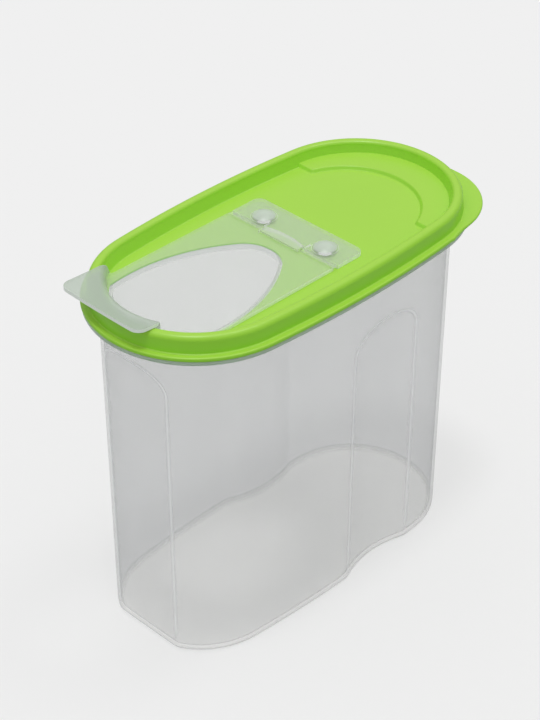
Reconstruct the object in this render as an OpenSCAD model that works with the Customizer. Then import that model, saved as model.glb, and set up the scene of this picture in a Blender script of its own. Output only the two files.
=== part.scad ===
// Cereal container with a flip spout. +Z is up, the origin is the centre of the base,
// and the spout pours towards -X. All sizes are in millimetres.

/* [Lid outline] */
// Half the length of the lid over its flange
lid_half_length = 105; // [102:1:115]
// Half the width of the lid over its flange
lid_half_width = 55; // [54:1:60]
// How much smaller the end radius is than the half width
end_relief = 2.5; // [2:0.5:6]

/* [Container] */
// Height of the container wall up to the underside of its rim
wall_height = 173.8; // [150:1:220]
// Distance that the base stands inside the lid outline at each end
base_inset_x = 9.5; // [8:0.5:12]
// Distance that the base stands inside the lid outline at each side
base_inset_y = 11.5; // [11:0.5:13]
// How much smaller the base's end radius is than its half width
base_relief = 2.3; // [2:0.1:6]
// Outward lean of the wall over its whole height
wall_draft = 2; // [1:0.25:2.5]
// Thickness of the container wall
wall = 1.4; // [1:0.1:2]
// Thickness of the container floor
floor_t = 2.2; // [2:0.1:3]
// Radius of the outer edge of the base
base_round = 3; // [2.5:0.25:5]

/* [Front panel] */
// Depth of the flat front panel below the rounded end
panel_depth = 5.1; // [3:0.1:6]
// Height at which the panel starts to curve out at its top
panel_top = 149; // [100:1:150]
// Radius of the curve at the top of the panel
panel_ramp = 24; // [15:1:40]

/* [Grips] */
// Position of the grip scoops along the length
grip_x = 27.9; // [10:1:40]
// Depth of the grip scoops
grip_depth = 5; // [3:0.25:6]
// Radius of the grip scoops across the hand
grip_radius = 54; // [40:1:80]
// Height at which a grip starts to curve out at its top
grip_top = 133; // [90:1:140]
// Radius of the curve at the top of a grip
grip_ramp = 22; // [15:1:30]

/* [Rim and neck] */
// Thickness of the rim ring that the lid rests on
rim_t = 2; // [1.5:0.25:3]
// Distance that the rim ring stands inside the lid outline
rim_inset = 0.5; // [0.25:0.25:1.5]
// Thickness of the neck that stands up inside the lid bead
neck_t = 1.4; // [1.2:0.1:1.6]
// Distance of the neck's outer face inside the lid outline
neck_inset = 5.1; // [5:0.1:5.3]
// Height of the neck above the rim ring
neck_height = 8.6; // [7:0.2:9]

/* [Lid] */
// Thickness of the lid flange
flange_t = 2; // [1.6:0.1:2.4]
// Height of the bead's crest above the flange underside
bead_height = 10.6; // [10.6:0.1:13]
// Distance of the bead's outer wall inside the lid outline
bead_inset = 3.2; // [3:0.1:3.5]
// Width over the bead's two walls at its shoulders
bead_width = 5.2; // [4.8:0.1:5.4]
// Radius of the bead's shoulders
bead_round = 2; // [1.5:0.1:2.2]
// Inward lean of the bead's inner wall down to the recess floor
recess_lean = 2; // [1:0.1:2.4]
// Height of the recess floor above the flange
recess_rise = 1.5; // [0.5:0.1:1.8]
// Thickness of the recess floor
lid_floor_t = 1.4; // [1.2:0.1:1.8]
// Height of the raised step at the rear of the recess
step_height = 1.8; // [1.5:0.1:3.5]
// Where the step's straight ends lie along the length
step_x = 55; // [50:1:60]
// Radius of the finger well that the step runs around
well_radius = 34.5; // [30:0.5:36]
// Position of the finger well's centre along the length
well_x = 44.5; // [42:0.5:50]
// Thickness of the rear pull tab
tab_t = 1.5; // [1.2:0.1:1.6]
// Radius of the pull tab's two corners
tab_radius = 36.5; // [30:0.5:40]
// Sideways distance of those corners' centres from the middle
tab_spread = 12.5; // [5:0.5:16]
// Distance that the pull tab stands out past the flange
tab_reach = 3.3; // [2:0.1:8]

/* [Pour opening] */
// Half the widest width of the pour opening
mouth_half_width = 31; // [26:0.5:31]
// Distance of the widest place ahead of the middle of the lid
mouth_wide_x = 65; // [62:1:67]
// Radius of the opening's narrow rear tip
mouth_tip_radius = 17.5; // [14:0.5:20]
// Distance of the rear tip ahead of the middle of the lid
mouth_tip_x = 6.4; // [6:0.1:12]
// Radius of the opening's front corners
mouth_corner = 4; // [3:0.5:8]
// Ledge left between the opening and the front of the recess
mouth_ledge = 2.3; // [2:0.1:6]

/* [Flap] */
// Half the width of the flap and the hinge plate
flap_half_width = 33.7; // [33:0.1:35]
// Thickness of the flap plate
flap_t = 1.8; // [1.6:0.1:2.4]
// Thickness of the sealing rib under the flap
rib_t = 1.2; // [1:0.1:1.6]
// Depth of the sealing rib below the flap plate
rib_depth = 2.9; // [2.5:0.1:4]
// Thickness of the lip's upright wall
lip_t = 1.8; // [1.4:0.1:2]
// Angle by which the wall of the lip leans outwards
lip_lean = 12; // [8:0.5:14]
// Distance that the visor reaches out past the lid's front edge
visor_overhang = 0; // [-1:0.5:1]
// Upward slope of the visor towards its front edge, in degrees
visor_slope = 3.8; // [2:0.2:8]
// Distance of the visor's near front corner from the middle of the lid
visor_near_y = 19; // [17.5:0.5:26]
// Radius of the visor's two front corners
visor_corner = 5; // [2:0.5:8]
// Radius of the fold between the lip's wall and its visor
fold_radius = 3.2; // [2.2:0.1:3.6]
// Angle of the lip's near end from the pour direction, in degrees
lip_near_angle = 23.2; // [15:1:40]

/* [Hinge] */
// Position of the hinge axis along the length
hinge_x = 1; // [0.5:0.1:3]
// Width of the groove along the hinge
groove_width = 2.5; // [2.4:0.1:3]
// Depth of the groove above the thin hinge film
groove_depth = 0.4; // [0.3:0.05:0.45]
// Thickness of the hinge film
film_t = 0.35; // [0.3:0.05:0.5]
// Half the width of the snap strap in the middle of the hinge
strap_half_width = 12; // [8:0.5:14]
// Length of the hinge plate behind the hinge groove
plate_length = 17.7; // [17:0.1:19]
// Radius of the hinge plate's rear corners
plate_corner = 4; // [2:0.5:6]
// Radius of the domed heads of the plate's two pegs
dome_radius = 5.9; // [4.5:0.1:6.5]
// Height of those domes above the plate
dome_height = 2.4; // [1.5:0.1:3]
// Sideways distance of the pegs from the middle
peg_y = 19.6; // [19:0.1:25]
// Distance of the pegs behind the hinge groove
peg_setback = 6.6; // [6.6:0.05:9]
// Radius of the peg's shank
peg_radius = 3.3; // [2.5:0.1:4]

/* [Clearances] */
// Gap between the lid and the rim ring, and between the flap and the lid
seat_gap = 0.3; // [0.2:0.05:0.5]
// Gap on each side of the neck inside the lid bead
neck_gap = 0.35; // [0.3:0.05:0.4]
// Gap between the sealing rib and the edge of the pour opening
rib_gap = 0.4; // [0.3:0.05:0.6]
// Gap between the lip and the front wall of the recess
lip_gap = 0.35; // [0.3:0.05:0.6]
// Gap around each peg in its hole
peg_gap = 0.15; // [0.1:0.05:0.3]
// Gap along both sides of the snap strap
strap_gap = 0.6; // [0.4:0.1:1]

/* [Hidden] */
$fn = 96;

// Outlines: an oval has two end arcs and two long side arcs, all tangent
lid_end_radius = lid_half_width - end_relief;
lid_centre_x = lid_half_length - lid_end_radius;
base_half_length = lid_half_length - base_inset_x;
base_half_width = lid_half_width - base_inset_y;
base_end_radius = base_half_width - base_relief;
base_centre_x = base_half_length - base_end_radius;

// Heights
rim_top = wall_height + rim_t;
lid_z = rim_top + seat_gap;
flange_top = lid_z + flange_t;
crest_z = lid_z + bead_height;
recess_z = flange_top + recess_rise;
lid_floor_z = recess_z - lid_floor_t;
neck_top = rim_top + neck_height;
cavity_top = neck_top + neck_gap;
flap_z = recess_z + seat_gap;
flap_top = flap_z + flap_t;
film_top = flap_top - groove_depth;
hinge_z = film_top - film_t / 2;

// Bead and recess, measured inwards from the lid outline
bead_lean = 0.3;
bead_outer = bead_inset + bead_lean;
bead_inner = bead_outer + bead_width;
recess_inset = bead_inner + recess_lean;
cavity_outer = neck_inset - neck_gap;
cavity_inner = neck_inset + neck_t + neck_gap;
recess_radius = lid_end_radius - recess_inset;

// Pour opening
mouth_front_radius = recess_radius - mouth_ledge;
mouth_tip_centre = mouth_tip_x + mouth_tip_radius;
tip_run = mouth_wide_x - mouth_tip_centre;
mouth_side_radius = (pow(tip_run, 2) + pow(mouth_half_width, 2) - pow(mouth_tip_radius, 2))
    / (2 * (mouth_half_width - mouth_tip_radius));
mouth_side_drop = mouth_side_radius - mouth_half_width;

// Hinge and flap
groove_front = hinge_x - groove_width / 2;
groove_rear = hinge_x + groove_width / 2;
peg_x = groove_rear + peg_setback;
strap_arc_run = 2.4;
strap_arc_radius = 40;
strap_front = hinge_x - 2.3;
strap_t = 1.5;
strap_z = film_top - film_t;
strap_swing = norm([hinge_x - strap_front, strap_z + strap_t - hinge_z]);
slit_half_width = strap_half_width + strap_gap;
flap_front_radius = recess_radius - 1.15;
lip_outer = recess_radius - lip_gap;
lip_inner = lip_outer - lip_t;
visor_z = crest_z + seat_gap;
fold_z = visor_z + lip_t - fold_radius;
fold_r = lip_inner + fold_radius * cos(lip_lean)
    + (fold_z + fold_radius * sin(lip_lean) - flap_z) * tan(lip_lean);
visor_front_x = -(lid_half_length + visor_overhang);

// The long side curves in by this much from the middle to the grip
grip_sink = 0.6;

// Overlap that keeps a cut or a joined solid clear of its neighbour's face
eps = 0.5;
// Angle by which the sectors of the container's wall overlap, so that they join
seam_lap = 0.0000001;
// How far a cutter runs past the side of the solid that it opens
cut_past = 0.2 * lid_half_width;
// Directions along an arc whose tangent there is level, and where it is upright
level = 90;
upright = 180;
// Angle of the curved top of the panel and grip cutters
ramp_sweep = 65;

function arc(centre, radius, from, to, steps = 16) =
    [for (i = [0 : steps]) let (a = from + (to - from) * i / steps)
        [centre[0] + radius * cos(a), centre[1] + radius * sin(a)]];

// Radius of the long side arcs of an oval, and the angle where its end arcs meet them
function side_radius(half_l, half_w, end_r) =
    (pow(half_l - end_r, 2) + pow(half_w, 2) - pow(end_r, 2)) / (2 * (half_w - end_r));
function end_angle(half_l, half_w, end_r) =
    atan2(side_radius(half_l, half_w, end_r) - half_w, half_l - end_r);

// Sweeps a profile around an oval. The profile's x runs outwards from the outline.
// The end sectors can overlap the side ones by a small angle, so that all four join.
module oval_sweep(half_l, half_w, end_r, over = 0) {
    big_r = side_radius(half_l, half_w, end_r);
    turn = end_angle(half_l, half_w, end_r);
    for (side = [0, 180]) {
        rotate([0, 0, side]) translate([half_l - end_r, 0, 0])
            rotate([0, 0, -turn - over]) rotate_extrude(angle = 2 * (turn + over), $fn = 180)
                translate([end_r, 0]) children();
        rotate([0, 0, side]) translate([0, half_w - big_r, 0])
            rotate([0, 0, turn]) rotate_extrude(angle = 180 - 2 * turn, $fn = 720)
                translate([big_r, 0]) children();
    }
}

// A solid oval whose edge follows a profile, from the base up to height h
module oval_solid(half_l, half_w, end_r, profile, h, over = 0) {
    core_x = half_l - end_r + 2;
    core_y = half_w - end_r + 1;
    oval_sweep(half_l, half_w, end_r, over)
        polygon(concat([[1 - end_r, 0]], profile, [[1 - end_r, h]]));
    translate([-core_x, -core_y, 0]) cube([2 * core_x, 2 * core_y, h]);
}

// Outline of the pour opening, drawn inwards by d
function mouth_outline(d) =
    let (side_c = [-mouth_wide_x, -mouth_side_drop],
         front_c = [-lid_centre_x, 0],
         to_corner = mouth_side_radius - mouth_corner,
         to_front = mouth_front_radius - mouth_corner,
         gap = norm(front_c - side_c),
         along = (pow(to_corner, 2) - pow(to_front, 2) + pow(gap, 2)) / (2 * gap),
         off = sqrt(pow(to_corner, 2) - pow(along, 2)),
         u = (front_c - side_c) / gap,
         corner_c = side_c + along * u + off * [-u[1], u[0]],
         tip_a = atan2(mouth_side_drop, tip_run),
         side_a = atan2(corner_c[1] - side_c[1], corner_c[0] - side_c[0]),
         front_a = atan2(corner_c[1], corner_c[0] - front_c[0]),
         half = concat(
             arc([-mouth_tip_centre, 0], mouth_tip_radius - d, 0, tip_a, 10),
             arc(side_c, mouth_side_radius - d, tip_a, side_a, 14),
             arc(corner_c, mouth_corner - d, side_a, front_a, 6),
             arc(front_c, mouth_front_radius - d, front_a, 180, 12)))
    concat(half, [for (i = [len(half) - 2 : -1 : 1]) [half[i][0], -half[i][1]]]);

// Cutter for the flat front panel; grow moves its face inwards by the wall
module panel_cutter(grow) {
    lean = atan(wall_draft / wall_height);
    face = base_half_length - panel_depth - grow;
    ramp = panel_ramp + grow;
    far = panel_ramp + cut_past;
    translate([-face, 0, 0]) rotate([0, -lean, 0])
        rotate([90, 0, 0]) linear_extrude(2 * lid_half_width, center = true)
            polygon(concat([[-far, -cut_past], [0, -cut_past]],
                arc([-ramp, panel_top], ramp, 0, ramp_sweep, 20),
                [[-far, panel_top + ramp]]));
}

// Cutter for one grip scoop on the -Y side; grow moves its face inwards by the wall
module grip_cutter(grow) {
    lean = atan(wall_draft / wall_height);
    ramp = grip_ramp + grow;
    hub = grip_radius - grip_ramp;
    deepest = base_half_width - grip_depth - grip_sink;
    translate([grip_x, -deepest - grip_radius, 0]) rotate([lean, 0, 0])
        rotate_extrude($fn = 180)
            polygon(concat([[0, -cut_past], [grip_radius + grow, -cut_past]],
                arc([hub, grip_top], ramp, 0, ramp_sweep, 20),
                [[0, grip_top + ramp * sin(ramp_sweep)]]));
}

module wall_cutters(grow) {
    panel_cutter(grow);
    grip_cutter(grow);
    mirror([0, 1, 0]) grip_cutter(grow);
}

// Container: drafted oval wall with its panel and grips, rim ring and neck
module container() {
    top_grow = wall_draft;
    inner_round = base_round - 1;
    color([0.84, 0.85, 0.84]) {
        difference() {
            oval_solid(base_half_length, base_half_width, base_end_radius,
                concat(arc([-base_round, base_round], base_round, -90, 0, 8),
                    [[top_grow, wall_height + eps]]),
                wall_height + eps, seam_lap);
            wall_cutters(0);
            translate([0, 0, floor_t]) difference() {
                oval_solid(base_half_length, base_half_width, base_end_radius,
                    concat(arc([-wall - inner_round, inner_round], inner_round, -90, 0, 8),
                        [[top_grow - wall, wall_height + rim_t]]),
                    wall_height + rim_t, seam_lap);
                translate([0, 0, -floor_t]) wall_cutters(wall);
            }
        }
        rim_and_neck();
    }
}

module rim_and_neck() {
    inner = lid_half_width - base_half_width - wall_draft + wall;
    oval_sweep(lid_half_length, lid_half_width, lid_end_radius, seam_lap)
        polygon([[-inner, wall_height], [-rim_inset, wall_height], [-rim_inset, rim_top],
            [-neck_inset, rim_top], [-neck_inset, neck_top - 0.4],
            [-neck_inset - 0.4, neck_top], [-neck_inset - neck_t + 0.4, neck_top],
            [-neck_inset - neck_t, neck_top - 0.4], [-neck_inset - neck_t, rim_top],
            [-inner, rim_top]]);
}

// Everything inside the lid outline by a distance, from z0 up to z1
module lid_plate(inset, z0, z1) {
    translate([0, 0, z0])
        oval_solid(lid_half_length - inset, lid_half_width - inset, lid_end_radius - inset,
            [[0, 0], [0, z1 - z0]], z1 - z0);
}

// Section of the lid's rim: flange, hollow bead and the inner wall of the recess
module lid_rim_section() {
    edge = 0.4;
    shoulder_z = crest_z - bead_round;
    cavity_round = 1;
    difference() {
        polygon(concat(
            [[0, lid_z], [0, flange_top - edge], [-edge, flange_top], [-bead_inset, flange_top]],
            arc([-bead_outer - bead_round, shoulder_z], bead_round, 0, 90, 8),
            arc([-bead_inner + bead_round, shoulder_z], bead_round, 90, 180, 8),
            [[-recess_inset, recess_z], [-recess_inset, lid_floor_z],
             [-bead_inner - 0.4, lid_floor_z], [-bead_inner - 0.4, lid_z]]));
        polygon(concat([[-cavity_inner, lid_z - eps], [-cavity_outer, lid_z - eps]],
            arc([-cavity_outer - cavity_round, cavity_top - cavity_round], cavity_round, 0, 90, 6),
            arc([-cavity_inner + cavity_round, cavity_top - cavity_round], cavity_round, 90, 180, 6)));
    }
}

// Raised step around the rear of the recess, hollow underneath
module rear_step(inset, z0, z1) {
    difference() {
        intersection() {
            lid_plate(bead_inner + 0.2 + 2 * inset, z0, z1);
            translate([step_x + inset, -lid_half_width, z0])
                cube([lid_half_length, 2 * lid_half_width, z1 - z0]);
        }
        translate([well_x, 0, z0 - eps])
            cylinder(r = well_radius + inset, h = z1 - z0 + 2 * eps, $fn = 180);
    }
}

// Pull tab: a square-ended tongue with two big round corners
module pull_tab() {
    centre_x = lid_half_length + tab_reach - tab_radius;
    tab_z = flange_top - tab_t;
    difference() {
        translate([0, 0, tab_z]) linear_extrude(tab_t) {
            for (side = [-1, 1])
                translate([centre_x, side * tab_spread]) circle(r = tab_radius, $fn = 180);
            translate([centre_x, -tab_spread]) square([tab_radius, 2 * tab_spread]);
        }
        lid_plate(bead_inset / 2, tab_z - eps, tab_z + tab_t + eps);
    }
}

// Lid: bead that grips the neck, recess with its step, pour opening and pull tab
module lid() {
    step_top = recess_z + step_height;
    color([0.66, 0.83, 0.38]) {
        difference() {
            union() {
                lid_plate(bead_inner + 0.2, lid_floor_z, recess_z);
                rear_step(0, lid_floor_z, step_top);
            }
            rear_step(lid_floor_t, lid_floor_z - eps, step_top - lid_floor_t);
            translate([0, 0, lid_floor_z - eps])
                linear_extrude(lid_floor_t + 2 * eps) polygon(mouth_outline(0));
            for (side = [-1, 1])
                translate([peg_x, side * peg_y, lid_floor_z - eps])
                    cylinder(r = peg_radius + peg_gap, h = lid_floor_t + 2 * eps);
        }
        oval_sweep(lid_half_length, lid_half_width, lid_end_radius) lid_rim_section();
        pull_tab();
    }
}

// Hinge plate: lies on the recess floor and is held by two snapped pegs
module hinge_plate() {
    x1 = groove_rear + plate_length;
    barb_h = 1.2;
    color([0.82, 0.86, 0.8]) {
        translate([0, 0, recess_z]) linear_extrude(flap_top - recess_z) difference() {
            polygon(concat([[groove_rear, -flap_half_width]],
                arc([x1 - plate_corner, plate_corner - flap_half_width], plate_corner, -90, 0, 8),
                arc([x1 - plate_corner, flap_half_width - plate_corner], plate_corner, 0, 90, 8),
                [[groove_rear, flap_half_width]]));
            translate([groove_rear - eps, -slit_half_width])
                square([eps, 2 * slit_half_width]);
            intersection() {
                translate([groove_rear + strap_arc_run - strap_arc_radius, 0])
                    circle(r = strap_arc_radius, $fn = 180);
                translate([0, -slit_half_width]) square([plate_length, 2 * slit_half_width]);
            }
        }
        for (side = [-1, 1]) translate([peg_x, side * peg_y, 0]) {
            translate([0, 0, flap_top - 0.2]) intersection() {
                cylinder(r = dome_radius, h = dome_height + 0.2);
                dome_ball(dome_radius, dome_height + 0.2);
            }
            translate([0, 0, lid_floor_z - barb_h - 0.1])
                cylinder(r = peg_radius, h = flap_top - lid_floor_z + barb_h);
            translate([0, 0, lid_floor_z - barb_h - 0.1])
                cylinder(r1 = peg_radius - 0.4, r2 = peg_radius + 0.5, h = barb_h);
        }
    }
}

// Ball whose cap of height h has base radius r, with that base at z = 0
module dome_ball(r, h) {
    ball = (r * r + h * h) / (2 * h);
    translate([0, 0, h - ball]) sphere(r = ball);
}

// Thin films along the hinge groove, one on each side of the strap
module hinge_webs() {
    color([0.82, 0.86, 0.8])
        for (side = [0, 1]) mirror([0, side, 0])
            translate([groove_front, slit_half_width, film_top - film_t])
                cube([groove_width, flap_half_width - slit_half_width, film_t]);
}

// Strap over the middle of the hinge that snaps the flap open or shut
module snap_strap() {
    color([0.84, 0.87, 0.82])
        translate([0, 0, strap_z]) linear_extrude(strap_t) intersection() {
            translate([groove_rear + strap_arc_run - strap_arc_radius, 0])
                circle(r = strap_arc_radius, $fn = 180);
            translate([strap_front, -strap_half_width])
                square([strap_arc_radius, 2 * strap_half_width]);
        }
}

// Outline of the flap plate, seen from above
module flap_outline() {
    intersection() {
        translate([-lid_centre_x, 0]) circle(r = flap_front_radius, $fn = 180);
        translate([-lid_half_length, -flap_half_width])
            square([lid_half_length - lid_centre_x + cut_past, 2 * flap_half_width]);
    }
    difference() {
        translate([-lid_centre_x, -flap_half_width])
            square([groove_front + lid_centre_x, 2 * flap_half_width]);
        translate([hinge_x - strap_swing - 0.2, -slit_half_width])
            square([strap_swing + groove_width, 2 * slit_half_width]);
    }
}

// Outline of the lip from above: pie-shaped from the centre of the lid's end arc, with a
// straight front edge, two round corners and a near end cut along a radius
function lip_outline() =
    let (near_r = fold_r - fold_radius + lip_t,
         near = near_r * [-cos(lip_near_angle), -sin(lip_near_angle)] - [lid_centre_x, 0],
         near_c = [visor_front_x + visor_corner, visor_corner - visor_near_y],
         edge = near - (near_c - [0, visor_corner]),
         near_a = 270 + atan2(edge[1], edge[0]))
    concat([[-lid_centre_x, 0], [-lid_centre_x, flap_half_width]],
        arc([visor_front_x + visor_corner, flap_half_width - visor_corner],
            visor_corner, 90, 180, 8),
        arc(near_c, visor_corner, 180, near_a, 8),
        [near]);

// Lip: wall that stands along the flap's front edge and leans outwards, folded over into
// a visor that rises over the lid's bead
module lip() {
    reach = norm([visor_front_x + lid_centre_x, flap_half_width]) + cut_past;
    foot_angle = asin(flap_half_width / lip_inner);
    fold = [fold_r, fold_z];
    over = arc(fold, fold_radius, level + visor_slope, upright - lip_lean, 8);
    under = arc(fold, fold_radius - lip_t, upright - lip_lean, level + visor_slope, 8);
    rise = tan(visor_slope);
    intersection() {
        translate([-lid_centre_x, 0, 0]) rotate([0, 0, 180 - foot_angle - eps])
            rotate_extrude(angle = foot_angle + lip_near_angle + 2 * eps, $fn = 240)
                polygon(concat([[lip_inner + lip_t / cos(lip_lean), flap_z]], under,
                    [[reach, under[8][1] + rise * (reach - under[8][0])],
                     [reach, over[0][1] + rise * (reach - over[0][0])]],
                    over, [[lip_inner, flap_z]]));
        translate([0, 0, flap_z - eps]) linear_extrude(lid_half_width) polygon(lip_outline());
    }
}

// Flap: plate over the opening, its sealing rib and the lip
module flap() {
    color([0.83, 0.86, 0.83]) {
        translate([0, 0, flap_z]) linear_extrude(flap_t) flap_outline();
        translate([0, 0, flap_z - rib_depth]) linear_extrude(rib_depth + 0.3) difference() {
            polygon(mouth_outline(rib_gap));
            polygon(mouth_outline(rib_gap + rib_t));
        }
        lip();
    }
}

container();
lid();
hinge_plate();
hinge_webs();
snap_strap();
flap();
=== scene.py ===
from collections import namedtuple
import math

import bpy
import bmesh
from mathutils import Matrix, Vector
from mathutils.geometry import tessellate_polygon


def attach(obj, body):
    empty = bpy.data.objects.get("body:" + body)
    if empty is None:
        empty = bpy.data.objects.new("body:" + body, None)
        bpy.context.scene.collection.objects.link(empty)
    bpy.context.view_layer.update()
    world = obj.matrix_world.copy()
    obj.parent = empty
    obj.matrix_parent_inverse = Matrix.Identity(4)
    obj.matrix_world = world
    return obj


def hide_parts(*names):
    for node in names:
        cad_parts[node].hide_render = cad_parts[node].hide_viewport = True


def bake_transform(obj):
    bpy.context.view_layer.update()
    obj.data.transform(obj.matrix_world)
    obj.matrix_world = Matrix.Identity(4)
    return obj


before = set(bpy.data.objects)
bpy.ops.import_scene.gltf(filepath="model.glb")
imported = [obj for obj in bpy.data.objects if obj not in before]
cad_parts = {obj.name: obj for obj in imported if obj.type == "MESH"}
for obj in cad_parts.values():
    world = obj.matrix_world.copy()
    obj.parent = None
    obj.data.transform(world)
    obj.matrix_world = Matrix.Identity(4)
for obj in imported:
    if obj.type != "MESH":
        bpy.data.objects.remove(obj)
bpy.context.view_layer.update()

bl_info = {
    "name": "Cereal container with flip spout",
    "version": (1, 0, 0),
    "blender": (4, 5, 0),
    "location": "3D View > Sidebar > Container",
    "description": "Builds the container, its lid and the flip spout around the fixed frame",
    "category": "Object",
}

MM = 0.001

# Masks that the shapes store and the milky plastics read
# The crease mask paints a highlight and a glow on creases, edges, rib and beads: a whiter colour, more
# cover and a little emission
EDGE_HIGHLIGHT = "crease"
THICK = "thick"
TINTED = "tinted"
# Painted light: the container's floor is made lighter and warmer where light gathers
FLOOR_LIGHT = "floor_light"


# ---------------------------------------------------------------- settings

def length(name, description, default_mm):
    """A length property, given in millimetres and kept in metres."""
    return bpy.props.FloatProperty(
        name=name, description=description, default=default_mm * MM,
        min=0.0, subtype="DISTANCE", unit="LENGTH", precision=5)


def tint(name, description, default):
    """A colour property."""
    return bpy.props.FloatVectorProperty(
        name=name, description=description, default=default,
        size=3, min=0.0, max=1.0, subtype="COLOR")


def share(name, description, default):
    """A number from 0 to 1."""
    return bpy.props.FloatProperty(
        name=name, description=description, default=default,
        min=0.0, max=1.0, subtype="FACTOR")


def strength(name, description, default):
    """The strength of a light."""
    return bpy.props.FloatProperty(name=name, description=description, default=default, min=0.0)


class ContainerSizes(bpy.types.PropertyGroup):
    """Sizes of the container's wall, panel, grips, rim and neck"""
    inset_x: length("End inset", "Base inside the lid outline at each end", 9.5)
    inset_y: length("Side inset", "Base inside the lid outline at each side", 11.5)
    end_relief: length("End relief", "End radius below the half width", 2.3)
    wall_height: length("Wall height", "Up to the underside of the rim", 173.8)
    draft: length("Draft", "Outward lean over the whole height", 2.0)
    wall: length("Wall", "Wall thickness", 1.4)
    floor: length("Floor", "Floor thickness", 2.2)
    base_round: length("Base round", "Radius of the base's outer edge", 3.0)
    crease: length("Crease", "Softness of the panel's and the grips' edges", 0.9)
    panel_depth: length("Panel depth", "Depth of the flat front panel", 5.1)
    panel_top: length("Panel top", "Height where the panel starts to curve out", 149.0)
    panel_ramp: length("Panel ramp", "Radius of the panel's curved top", 24.0)
    grip_x: length("Grip place", "Grip centre along the length", 27.9)
    grip_depth: length("Grip depth", "Depth of each grip scoop", 5.6)
    grip_radius: length("Grip radius", "Radius of each grip across the hand", 54.0)
    grip_top: length("Grip top", "Height where a grip starts to curve out", 133.0)
    grip_ramp: length("Grip ramp", "Radius of a grip's curved top", 22.0)
    rim_inset: length("Rim inset", "Rim ring inside the lid outline", 0.5)
    rim: length("Rim", "Thickness of the rim ring", 2.0)
    neck_inset: length("Neck inset", "Neck inside the lid outline", 5.1)
    neck: length("Neck", "Thickness of the neck", 1.4)
    neck_height: length("Neck height", "Neck above the rim ring", 8.6)


class LidSizes(bpy.types.PropertyGroup):
    """Sizes of the lid"""
    half_length: length("Half length", "Over the flange", 105.0)
    half_width: length("Half width", "Over the flange", 55.0)
    end_relief: length("End relief", "End radius below the half width", 2.5)
    seat: length("Seat", "Height of the flange's underside", 176.1)
    flange: length("Flange", "Flange thickness", 2.0)
    bead_height: length("Bead height", "Crest above the flange's underside", 10.6)
    bead_inset: length("Bead inset", "Bead's outer wall inside the outline", 3.2)
    bead_width: length("Bead width", "Over the two walls at the shoulders", 5.2)
    bead_round: length("Bead round", "Radius of the bead's shoulders", 2.0)
    lean: length("Recess lean", "Inward lean of the bead's inner wall", 2.0)
    rise: length("Recess rise", "Recess floor above the flange", 1.5)
    floor: length("Floor", "Thickness of the recess floor", 1.4)
    step: length("Step", "Height of the rear step", 1.8)
    step_x: length("Step place", "Where the step's straight ends lie", 55.0)
    well_x: length("Well place", "Finger well's centre along the length", 44.5)
    well_radius: length("Well radius", "Radius of the finger well", 34.5)
    tab: length("Tab", "Thickness of the pull tab", 1.5)
    tab_radius: length("Tab radius", "Radius of the tab's corners", 36.5)
    tab_spread: length("Tab spread", "Those corners' centres from the middle", 12.5)
    tab_reach: length("Tab reach", "Tab's flat end past the flange", 3.3)


class SpoutSizes(bpy.types.PropertyGroup):
    """Sizes of the pour opening, the flap and its hinge"""
    mouth_half_width: length("Mouth half width", "Half the opening's widest width", 31.0)
    mouth_wide_x: length("Mouth wide place", "Widest place ahead of the middle", 65.0)
    mouth_tip_radius: length("Mouth tip radius", "Radius of the narrow rear tip", 17.5)
    mouth_tip_x: length("Mouth tip place", "Rear tip ahead of the middle", 6.4)
    mouth_corner: length("Mouth corner", "Radius of the front corners", 4.0)
    mouth_ledge: length("Mouth ledge", "Ledge in front of the opening", 2.3)
    half_width: length("Flap half width", "Half the width of the flap", 33.7)
    plate: length("Flap thickness", "Thickness of the flap's plate", 1.8)
    seat_gap: length("Seat gap", "Flap above the recess floor", 0.3)
    front_gap: length("Front gap", "Flap's front edge to the recess wall", 1.15)
    rib: length("Rib", "Thickness of the sealing rib", 1.2)
    rib_depth: length("Rib depth", "Rib below the flap", 2.9)
    rib_gap: length("Rib gap", "Rib to the edge of the opening", 0.4)
    lip: length("Lip", "Thickness of the lip's wall", 1.8)
    lip_gap: length("Lip gap", "Lip to the recess wall", 0.35)
    visor_z: length("Visor height", "Visor's underside at the fold", 187.0)
    fold: length("Fold", "Radius of the fold between lip and visor", 3.2)
    visor_near: length("Visor near side", "Near front corner from the middle", 17.4)
    visor_inset: length("Visor inset", "Visor's front edge inside the lid outline", 0.9)
    visor_corner: length("Visor corner", "Radius of the visor's corners", 5.0)
    hinge_x: length("Hinge place", "Hinge axis along the length", 1.0)
    groove: length("Groove", "Width of the hinge groove", 2.5)
    groove_depth: length("Groove depth", "Film below the flap's top", 0.4)
    film: length("Film", "Thickness of the hinge film", 0.35)
    plate_length: length("Hinge plate", "Length of the hinge plate", 17.7)
    plate_corner: length("Plate corner", "Radius of its rear corners", 4.0)
    strap_half: length("Strap half width", "Half the snap strap's width", 12.0)
    strap_gap: length("Strap gap", "Slit at each side of the strap", 0.6)
    strap_bow: length("Strap bow", "Radius of the strap's rear edge", 40.0)
    strap_depth: length("Strap depth", "Strap behind the groove at its middle", 2.4)
    slit_bead: length("Slit bead", "Radius of the bead beside each slit", 0.55)
    peg_y: length("Peg spread", "Pegs from the middle", 19.6)
    peg_setback: length("Peg setback", "Pegs behind the groove", 6.6)
    peg_radius: length("Peg radius", "Radius of a peg's shank", 3.3)
    dome_radius: length("Dome radius", "Radius of a peg's head", 5.9)
    dome_height: length("Dome height", "Head above the plate", 2.4)


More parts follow.
